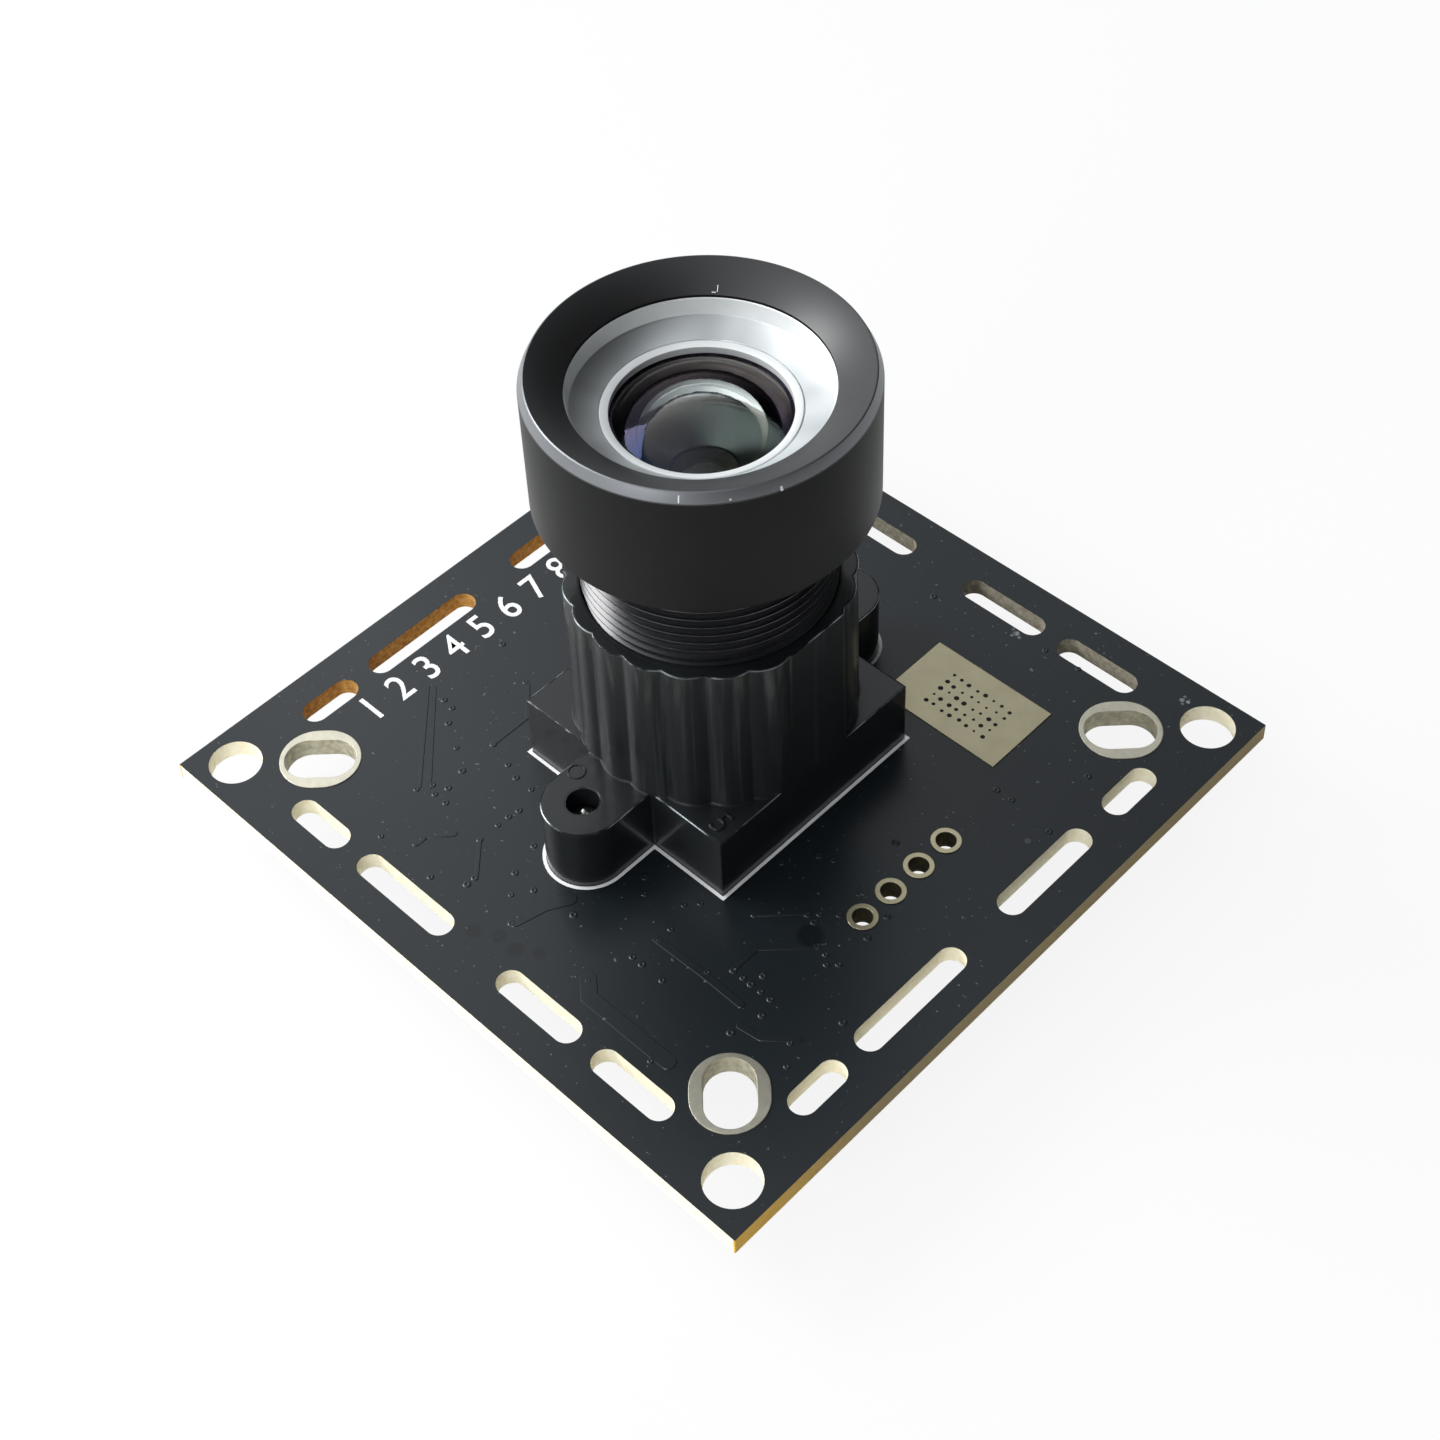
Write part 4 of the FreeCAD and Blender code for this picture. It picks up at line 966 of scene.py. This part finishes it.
@dataclass
class HolderUnit(Unit):
    """The moulded holder with its marks, its screws, and the filter and sensor under it."""

    base_top: float = 8.35
    mark_height: float = 0.06
    numeral: str = "5"
    numeral_place: Point = (5.2, -6.1)
    pin_mark: Point = (-1.5, -7.95)
    rim_level: float = 8.2
    bore_level: float = 12.0
    bore_radius: float = 6.2
    sheen_width: float = 0.07
    sheen_lift: float = 0.02

    def build(self) -> None:
        """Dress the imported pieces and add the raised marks."""
        for look, name in (
            ("moulding", "lens_holder"), ("steel", "holder_screws"), ("filter", "infrared_filter"),
            ("sensor", "sensor_package"), ("silicon", "sensor_silicon"),
            ("inner_glass", "sensor_cover_glass"),
        ):
            self.dress(look, name)
        self.make_marks()
        self.make_edge_sheen()

    def make_marks(self) -> None:
        """Raise the mould's cavity number and the ring that an ejector pin left."""
        top = self.base_top
        number = lettering(self.numeral, 1.7, self.mark_height, 0.01)
        number.transform(shift(*self.numeral_place, top + self.mark_height / 2))
        self.make("holder_cavity_number", number, "moulding")
        ring = turned([(0.34, top), (0.38, top + 0.05), (0.44, top + 0.05), (0.48, top)], 32)
        ring.transform(shift(*self.pin_mark, 0))
        self.make("holder_pin_mark", ring, "moulding")

    def is_rim(self, edge: bmesh.types.BMEdge) -> bool:
        """Say whether an edge of the holder runs round the top of its base or of its barrel."""
        if len(edge.link_faces) != 2 or not edge.is_convex or edge.calc_face_angle(0.0) < math.radians(50):
            return False
        spot = (edge.verts[0].co + edge.verts[1].co) / 2 / MM
        if spot.z <= self.rim_level or (spot.z >= self.bore_level and spot.xy.length <= self.bore_radius):
            return False
        steep, level = sorted(face.normal.z for face in edge.link_faces)
        return level > 0.9 and abs(steep) < 0.3

    def make_edge_sheen(self) -> None:
        """Round the holder's upper outer edges with thin strips that carry the painted edge sheen, cut from a
        bevelled copy of it.
        """
        shape = bmesh.new()
        shape.from_mesh(self.nodes["lens_holder"].data)
        bmesh.ops.remove_doubles(shape, verts=shape.verts[:], dist=1e-7)
        flat = math.radians(1)
        bmesh.ops.dissolve_limit(shape, angle_limit=flat, verts=shape.verts[:], edges=shape.edges[:])
        made = bmesh.ops.bevel(
            shape, geom=[edge for edge in shape.edges if self.is_rim(edge)], offset=self.sheen_width * MM,
            segments=2, profile=0.5, affect="EDGES", material=-1, clamp_overlap=True,
        )
        kept = set(made["faces"])
        bmesh.ops.delete(shape, geom=[face for face in shape.faces if face not in kept], context="FACES")
        outward(shape)
        centre = Vector((0, 0, 12 * MM))
        facing_out = sum(face.normal.dot(face.calc_center_median() - centre) > 0 for face in shape.faces)
        if facing_out * 2 < len(shape.faces):
            bmesh.ops.reverse_faces(shape, faces=shape.faces[:])
        for vert in shape.verts:
            vert.co += vert.normal * self.sheen_lift * MM
        bmesh.ops.solidify(shape, geom=shape.faces[:], thickness=0.03 * MM)
        self.make("holder_edge_sheen", outward(shape), "worn_edge", 60.0)


@dataclass
class BoardUnit(Unit):
    """The circuit board with its platings, print, copper relief and vias."""

    ink_height: float = 0.02
    line_width: float = 0.17
    outline_gap: float = 0.02
    via_radius: float = 0.2
    via_height: float = 0.035
    seed: int = 38
    pad_vias: tuple[Point, Point] = ((5.69, 9.1), (9.32, 11.26))
    vias: tuple[float, ...] = (
        -12.3, -7.2, -11.6, -7.3, -11.0, -8.1, -9.5, -8.9, -8.3, -7.5, -6.8, -7.9, -5.9, -8.2, -4.8, -8.2,
        -9.0, -12.0, -8.6, -11.3, -8.1, -11.6, -7.9, -10.9, -7.3, -11.6, -8.2, -9.7, -4.4, -10.1,
        -4.4, -10.8, -4.3, -9.5, -4.4, -12.0, -8.1, -15.1, -6.5, -13.8, -6.5, -14.3, -2.2, -10.5,
        -4.5, -15.1, -2.9, -13.7, -2.9, -14.2, -1.7, -12.2, -0.9, -13.2, -0.3, -12.3, 0.3, -13.8,
        0.3, -14.3, 2.1, -12.0, -10.1, -3.6, 3.0, -8.2, 3.7, -8.9, 5.5, -8.1, 6.0, -7.5, 8.3, -6.3,
        6.0, -9.5, 6.0, -10.3, 5.8, -11.8, 6.4, -11.8, 5.2, -14.1, 7.7, -11.8, 8.9, -10.1, 9.7, -9.2,
        10.3, -9.2, 10.8, -9.2, 10.3, -15.2, 11.9, -11.7, 7.2, -3.2, 8.2, -1.7, 8.9, -1.4, 10.4, 1.3,
        11.1, -2.1, 11.2, -3.6, 12.9, -2.2, 13.0, -3.7, 10.1, -4.6, 10.5, -4.2, 10.6, -4.7, 11.6, -5.6,
        12.2, -5.7, 12.6, -6.1, 13.0, -5.7, 10.9, -8.5, 11.4, -9.2, 12.0, -9.2, 12.3, -10.1, 15.2, -7.9,
        14.2, -10.3, 14.9, -11.3, 15.3, 6.7, 11.9, 7.0, 12.8, 7.0, 6.2, 15.6, 8.0, 15.7, 10.0, 15.8,
        14.6, 10.6, -12.9, -2.6, -11.2, 4.4, -9.6, 9.2, -4.2, 13.6, 1.4, 14.8,
    )
    tracks: Tracks = (
        (0.14, (-13.62, -7.13, -9.0, -11.8)),
        (0.14, (-13.3, -6.96, -8.6, -11.5)),
        (0.75, (5.15, -14.04, 5.9, -14.7, 10.9, -14.7)),
        (0.7, (0.3, -14.1, 0.7, -12.52, 1.3, -11.5)),
        (0.35, (5.9, -10.34, 8.9, -10.27, 11.2, -10.31)),
        (0.3, (11.96, -11.16, 13.04, -11.0, 14.35, -9.9)),
        (0.3, (-6.5, -14.2, -6.5, -13.6, -5.6, -12.6)),
        (0.16, (-8.3, -7.5, -8.3, -5.2, -9.9, -3.6)),
        (0.16, (-4.4, -12.0, -2.9, -13.6)),
        (0.16, (8.3, -6.3, 9.9, -4.7)),
        (0.16, (9.7, -9.2, 9.7, -7.6, 11.6, -5.7)),
    )

    def build(self) -> None:
        """Dress the board and build everything printed or raised on it."""
        low, high = box_mm("circuit_board")
        self.low, self.top = low.z, high.z
        self.dress("mask", "circuit_board")
        self.dress("gold", "ground_pad")
        self.dress("plated_slot", *(name for name in self.nodes if name.startswith("slot_plating")))
        self.dress("plated_hole", *(name for name in self.nodes if name.startswith("wire_hole_plating")))
        self.print_outline()
        self.print_numbers()
        self.raise_vias()
        tracks = raise_tracks(self.tracks, self.top - 0.005, 0.03, Side.FRONT)
        self.make("copper_tracks_front", tracks, "mask", 20.0)
        self.punch_pad_vias()

    def print_outline(self) -> None:
        """Print the white line round the holder's base and ears."""
        grow = self.outline_gap + self.line_width
        base = 6.5 + grow
        ear = 2.0 + grow
        angles = [math.pi * step / 24 for step in range(25)]
        arc = [(ear * math.cos(angle), 9.0 + ear * math.sin(angle)) for angle in angles]
        half = [(base, base), (ear, base), *arc, (-ear, base), (-base, base)]
        corners = half + [(-x, -y) for x, y in half]
        line = raise_outline(corners, self.line_width, self.top - 0.005, self.ink_height)
        self.make("holder_outline_print", line, "ink")

    def print_numbers(self) -> None:
        """Print a plain count in the strip at the left edge, read from the front to the back."""
        shape = lettering("1 2 3 4 5 6 7 8 9", 2.45, self.ink_height, 0.015)
        where = shift(-13.8, -10.6, self.top + self.ink_height / 2)
        squeeze = Matrix.Diagonal((0.86, 1.0, 1.0, 1.0))
        shape.transform(where @ Matrix.Rotation(math.pi / 2, 4, "Z") @ squeeze)
        self.make("board_numbers_print", shape, "ink")

    def raise_vias(self) -> None:
        """Raise the covered vias: small rims with a dimple, the same on both faces."""
        r, h = self.via_radius, self.via_height
        section = [
            (r, -0.01), (r * 0.7, h), (r * 0.42, h * 0.9), (r * 0.15, 0.004), (0.0, 0.002), (0.0, -0.01),
        ]
        rng = random.Random(self.seed)
        for side, level in ((Side.FRONT, self.top), (Side.BACK, self.low)):
            shape = turned(section, 14)
            first = shape.verts[:] + shape.edges[:] + shape.faces[:]
            for x, y in zip(self.vias[::2], self.vias[1::2]):
                verts = points_of(bmesh.ops.duplicate(shape, geom=first)["geom"])
                size = rng.uniform(0.8, 1.15)
                bmesh.ops.scale(shape, verts=verts, vec=(size, size, 1.0))
                bmesh.ops.translate(shape, verts=verts, vec=(x * MM, y * MM, 0))
            bmesh.ops.delete(shape, geom=points_of(first), context="VERTS")
            shape.transform(shift(0, 0, level) @ Matrix.Diagonal((1, 1, side.value, 1)))
            self.make(f"covered_vias_{side.name.lower()}", outward(shape), "mask", 60.0)

    def punch_pad_vias(self) -> None:
        """Add dark discs for the open vias in the middle of the ground pad, five rows of eight: painted shade
        standing for their unlit barrels.
        """
        pad_top = box_mm("ground_pad")[1].z
        (left, front), (right, back) = self.pad_vias
        shape = bmesh.new()
        rng = random.Random(self.seed)
        for row in range(5):
            for column in range(8):
                x = left + column * (right - left) / 7 + rng.uniform(-0.07, 0.07)
                y = front + row * (back - front) / 4 + rng.uniform(-0.07, 0.07)
                bmesh.ops.create_circle(
                    shape, cap_ends=True, radius=rng.uniform(0.07, 0.15) * MM, segments=12,
                    matrix=shift(x, y, pad_top + 0.002),
                )
        self.make("ground_pad_vias", thicken(shape, -0.01), "hole_dark")


class LeadRow(NamedTuple):
    """Leads of one part, and how they are soldered.

    Attributes:
        node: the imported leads.
        axis: 0 where they point along X, 1 along Y.
        foot: length in millimetres of the part that lies on its land.
        rise: how high the solder climbs.
    """

    node: str
    axis: int
    foot: float
    rise: float


class Mound(NamedTuple):
    """A mound of solder, in millimetres.

    Attributes:
        middle: its place.
        land: its size on the board.
        crest: its size at the top.
        rise: how high it stands.
    """

    middle: Point
    land: Point
    crest: Point
    rise: float


@dataclass
class BackUnit(Unit):
    """The parts soldered to the back of the board, with their solder, print and copper.

    Attributes:
        outlines: parts with a printed line round them, and its distance. A first of six stands for its row.
    """

    ink_height: float = 0.02
    line_width: float = 0.15
    lead_rows: tuple[LeadRow, ...] = (
        LeadRow("memory_chip_leads", 1, 0.6, 0.2),
        LeadRow("first_regulator_leads", 1, 0.55, 0.18),
        LeadRow("second_regulator_leads", 1, 0.55, 0.18),
        LeadRow("crystal_leads", 1, 0.9, 0.22),
        LeadRow("connector_contacts", 0, 0.8, 0.22),
        LeadRow("connector_tabs", 1, 0.8, 0.25),
    )
    outlines: tuple[tuple[str, float], ...] = (
        ("image_processor", 0.55), ("memory_chip", 0.3), ("first_regulator", 0.25),
        ("second_regulator", 0.25), ("power_coil", 0.45), ("connector_housing", 0.3),
        ("capacitor_1", 0.55), ("resistor_1", 0.55), ("crystal_base", 0.35),
    )
    pads_a_side: int = 14
    pad_pitch: float = 0.45
    tracks: Tracks = (
        (0.25, (-9.9, 1.88, -7.4, 1.88, -4.9, 5.2, -1.0, 6.0, 1.0, 6.0, 3.5, 8.0)),
        (0.25, (-9.9, 0.63, -7.0, 0.63, -5.0, 2.55, -4.4, 2.55)),
        (0.25, (-9.9, -0.63, -7.2, -0.63, -5.0, -2.55, -4.4, -2.55)),
        (0.5, (-9.9, -1.88, -8.6, -1.88, -7.4, -3.0, -7.4, -7.6)),
        (0.18, (-4.3, 13.7, -3.4, 14.4, 2.6, 14.4, 4.2, 13.9)),
        (0.18, (-5.6, 13.7, -4.6, 14.9, 3.4, 14.9, 5.0, 14.1)),
        (0.18, (-6.9, 13.7, -5.4, 15.4, 4.2, 15.4, 5.8, 14.1)),
        (0.18, (-4.3, 7.5, -3.2, 6.6, 0.4, 6.6, 3.5, 9.4)),
        (0.2, (7.0, 3.9, 7.0, 6.5)),
        (0.2, (7.0, -9.9, 5.6, -11.3, 3.4, -11.3, 3.4, 5.0, 4.6, 6.5)),
        (0.3, (11.2, 3.0, 10.2, 4.2, 10.2, 6.5)),
        (0.25, (11.2, -1.0, 10.5, -1.8, 10.5, -12.2, 3.0, -13.2, -6.8, -13.2)),
        (0.5, (-10.3, -13.2, -11.6, -13.2, -11.6, -11.6)),
        (0.2, (-2.4, -4.25, 0.4, -4.25)),
        (0.2, (-2.4, -2.55, 0.4, -2.55)),
        (0.2, (-2.4, 0.85, 0.4, 0.85)),
        (0.2, (-2.4, 2.55, 0.4, 2.55)),
        (0.2, (2.4, -0.85, 3.2, -1.8, 3.2, -7.0, 2.0, -8.2)),
    )

    def build(self) -> None:
        """Dress each part by what it is, then solder it and print round it."""
        self.level = box_mm("circuit_board")[0].z
        self.dress_parts()
        self.solder_leads()
        self.solder_ends()
        self.solder_processor()
        self.mark_chips()
        self.print_outlines()
        self.print_numbers()
        tracks = raise_tracks(self.tracks, self.level + 0.005, 0.03, Side.BACK)
        self.make("copper_tracks_back", tracks, "mask", 20.0)

    def dress_parts(self) -> None:
        """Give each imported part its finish."""
        self.dress("cream", "connector_housing")
        self.dress("can", "crystal_can")
        self.dress("ferrite", "power_coil")
        self.dress("tin", *(row.node for row in self.lead_rows))
        self.dress("chip", "crystal_base", "first_regulator", "second_regulator")
        self.dress("chip", "memory_chip", "image_processor")
        for kind, colour, rough in (("capacitor", "a08560", 0.45), ("resistor", "16171a", 0.25)):
            low, high = box_mm(f"{kind}_1")
            middle = (low.x + high.x) / 2
            finish = TinEnded(f"{kind}_ceramic", colour, rough, middle=middle, rounding=0.05)
            self.looks[kind] = finish.build()
            self.dress(kind, *(f"{kind}_{number}" for number in range(1, 7)))

    def solder(self, name: str, mounds: list[Mound]) -> None:
        """Make mounds of solder, each with sloping sides from its land to its crest, as one piece."""
        shape = bmesh.new()
        for mound in mounds:
            waist = [(land + crest) * 0.44 for land, crest in zip(mound.land, mound.crest)]
            layers = ((mound.land, 0.0, 0.03), (waist, mound.rise / 2, 0.02), (mound.crest, mound.rise, 0.02))
            verts = []
            for size, fall, thick in layers:
                block = shift(*mound.middle, self.level - fall) @ sized(*size, thick)
                verts += bmesh.ops.create_cube(shape, size=1.0, matrix=block)["verts"]
            join_hull(shape, verts)
        self.make(name, outward(shape), "solder", 60.0)

    def solder_leads(self) -> None:
        """Solder each lead's foot to its land."""
        for row in self.lead_rows:
            axis = row.axis
            whole_low, whole_high = box_mm(row.node)
            centre = (whole_low[axis] + whole_high[axis]) / 2
            mounds = []
            for low, high in lump_boxes(self.nodes[row.node]):
                way = 1 if (low[axis] + high[axis]) / 2 > centre - 0.01 else -1
                end = high[axis] if way > 0 else low[axis]
                middle = [(low.x + high.x) / 2, (low.y + high.y) / 2]
                middle[axis] = end - way * row.foot * 0.35
                wide = min(high[1 - axis] - low[1 - axis], 1.8)
                land, crest = [wide + 0.22, wide + 0.22], [wide * 0.8, wide * 0.8]
                land[axis], crest[axis] = row.foot + 0.35, row.foot * 0.7
                mounds.append(Mound(tuple(middle), tuple(land), tuple(crest), row.rise))
            self.solder(row.node + "_solder", mounds)

    def solder_ends(self) -> None:
        """Solder both ends of the capacitors, the resistors and the coil."""
        names = [f"{kind}_{number}" for kind in ("capacitor", "resistor") for number in range(1, 7)]
        mounds = []
        for name in names + ["power_coil"]:
            low, high = box_mm(name)
            tall = min((high.z - low.z) * 0.6, 0.5)
            deep = high.y - low.y
            for x in (low.x - 0.02, high.x + 0.02):
                mounds.append(Mound((x, (low.y + high.y) / 2), (0.6, deep + 0.1), (0.1, deep * 0.86), tall))
        self.solder("small_part_solder", mounds)

    def solder_processor(self) -> None:
        """Line the processor's four sides with its small soldered contacts."""
        low, high = box_mm("image_processor")
        centre = (low + high) / 2
        reach = (high.x - low.x) / 2 + 0.05
        mounds = []
        for number in range(self.pads_a_side):
            along = (number - (self.pads_a_side - 1) / 2) * self.pad_pitch
            for side in (-reach, reach):
                mounds.append(Mound((centre.x + along, centre.y + side), (0.26, 0.5), (0.18, 0.16), 0.16))
                mounds.append(Mound((centre.x + side, centre.y + along), (0.5, 0.26), (0.16, 0.18), 0.16))
        self.solder("processor_contacts", mounds)

    def mark_chips(self) -> None:
        """Sink a round first-lead mark into the chips: a shallow polished dish with a soft rim."""
        for name, size, is_back in (("image_processor", 0.42, True), ("memory_chip", 0.3, False)):
            low, high = box_mm(name)
            y = high.y - 0.9 if is_back else low.y + 0.9
            dish = [(size, 0.01), (size, -0.006), (size * 0.85, -0.002), (0.0, -0.001), (0.0, 0.01)]
            mark = turned(dish, 32)
            mark.transform(shift(low.x + 0.9, y, low.z))
            self.make(name + "_mark", mark, "chip_mark")

    def print_outlines(self) -> None:
        """Print a thin white line round each part."""
        for name, gap in self.outlines:
            low, _ = box_mm(name)
            _, high = box_mm(name.replace("_1", "_6"))
            left, front, right, back = low.x - gap, low.y - gap, high.x + gap, high.y + gap
            corners = [(left, front), (right, front), (right, back), (left, back)]
            line = raise_outline(corners, self.line_width, self.level + 0.005, -self.ink_height - 0.005)
            self.make(name + "_outline_print", line, "ink")

    def print_numbers(self) -> None:
        """Print the connector's plain first and last numbers, to be read from behind."""
        for words, y in (("1", -5.2), ("4", 4.0)):
            shape = lettering(words, 1.5, self.ink_height, 0.02)
            where = shift(-8.6, y, self.level - self.ink_height / 2)
            shape.transform(where @ Matrix.Rotation(math.pi, 4, "Y"))
            self.make(f"back_number_{words}_print", outward(shape), "ink")


@dataclass
class Studio:
    """Plain floor, soft light and the photograph's camera."""

    lens_mm: float = 63.70
    camera_shift: Point = (0.0653, -0.1993)
    place: Triple = (58.528, -57.098, 101.739)
    right: Triple = (0.70551, 0.70642, -0.05671)
    down: Triple = (0.45262, -0.51071, -0.73096)
    forward: Triple = (-0.54533, 0.49004, -0.68006)

    def build(self) -> None:
        """Set up colour management, camera, lamps, world and floor."""
        scene = bpy.context.scene
        scene.view_settings.view_transform = "Standard"
        self.make_camera(scene)
        self.make_world(scene)
        self.make_lamps(scene)
        self.make_floor(scene)

    def make_camera(self, scene: bpy.types.Scene) -> None:
        """Stand the camera where the photograph was taken from."""
        data = bpy.data.cameras.new("photo_camera")
        data.lens = self.lens_mm
        data.sensor_width = 36.0
        data.shift_x, data.shift_y = self.camera_shift
        data.clip_start = 0.001
        data.clip_end = 5.0
        camera = bpy.data.objects.new("photo_camera", data)
        columns = Matrix((self.right, [-c for c in self.down], [-c for c in self.forward])).transposed()
        camera.matrix_world = shift(*self.place) @ columns.to_4x4()
        scene.collection.objects.link(camera)
        scene.camera = camera

    def make_world(self, scene: bpy.types.Scene) -> None:
        """Make a pale room, brighter to the left and front, with a white backdrop for the camera."""
        world = bpy.data.worlds.new("studio_world")
        world.use_nodes = True
        graph = Graph(world.node_tree)
        graph.tree.nodes.clear()
        way = graph.add("TexCoord").outputs["Generated"]
        bright_side = Vector((-0.85, -0.5, 0.15)).normalized()
        dot = graph.vector("DOT_PRODUCT", way, bright_side, output="Value")
        level = graph.spread(dot, -0.3, 0.6, 0.06, 1.2, smooth=True)
        room = graph.add("Background", {"Color": linear("f4f8fc"), "Strength": level}).outputs[0]
        backdrop = graph.add("Background", {"Color": (1, 1, 1, 1), "Strength": 1.0}).outputs[0]
        seen = graph.add("LightPath").outputs["Is Camera Ray"]
        mixed = graph.add("MixShader", {0: seen, 1: room, 2: backdrop}).outputs[0]
        graph.add("OutputWorld", {"Surface": mixed})
        scene.world = world

    def make_lamps(self, scene: bpy.types.Scene) -> None:
        """Hang a large soft lamp at the left, a weaker one in front and a small one behind."""
        for name, spot, size, power in (
            ("left_softbox", (-142, -74, 120), 95, 0.27),
            ("front_softbox", (40, -190, 120), 80, 0.14),
            ("back_window", (-158, 78, 176), 5, 0.005),
        ):
            data = bpy.data.lights.new(name, "AREA")
            data.shape = "SQUARE"
            data.size = size * MM
            data.energy = power
            lamp = bpy.data.objects.new(name, data)
            lamp.visible_transmission = size < 20
            lamp.location = Vector(spot) * MM
            lamp.rotation_mode = "QUATERNION"
            lamp.rotation_quaternion = (-Vector(spot)).to_track_quat("-Z", "Y")
            scene.collection.objects.link(lamp)

    def make_floor(self, scene: bpy.types.Scene) -> None:
        """Lay a pale floor that keeps a soft shadow of the object, and that is clear from below."""
        shape = bmesh.new()
        bmesh.ops.create_grid(shape, x_segments=1, y_segments=1, size=1.5)
        mesh = bpy.data.meshes.new("studio_floor")
        shape.to_mesh(mesh)
        shape.free()
        material = bpy.data.materials.new("pale_floor")
        material.use_nodes = True
        graph = Graph(material.node_tree)
        graph.tree.nodes.clear()
        cloth = graph.add("BsdfDiffuse", {"Color": linear("f2f2f0")}).outputs[0]
        glow = graph.add("Emission", {"Color": (1, 1, 1, 1), "Strength": 1.0}).outputs[0]
        clear = graph.add("BsdfTransparent").outputs[0]
        rays = graph.add("LightPath").outputs
        share = graph.math("MULTIPLY", rays["Is Glossy Ray"], 0.15)
        for kind in ("Is Camera Ray", "Is Transmission Ray"):
            share = graph.math("MAXIMUM", share, graph.math("MULTIPLY", rays[kind], 0.88))
        mixed = graph.add("MixShader", {0: share, 1: cloth, 2: glow}).outputs[0]
        below = graph.add("NewGeometry").outputs["Backfacing"]
        one_sided = graph.add("MixShader", {0: below, 1: mixed, 2: clear}).outputs[0]
        graph.add("OutputMaterial", {"Surface": one_sided})
        mesh.materials.append(material)
        floor = bpy.data.objects.new("studio_floor", mesh)
        scene.collection.objects.link(floor)


def main() -> None:
    """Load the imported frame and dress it, unit by unit."""
    logging.basicConfig(level=logging.INFO, format="%(message)s")
    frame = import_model()
    looks = {key: finish.build() for key, finish in FINISHES.items()}
    Studio().build()
    for kind in (LensUnit, HolderUnit, BoardUnit, BackUnit):
        kind(looks, frame["nodes"]).build()
        LOG.info("dressed %s", kind.__name__)


if __name__ == "__main__":
    main()
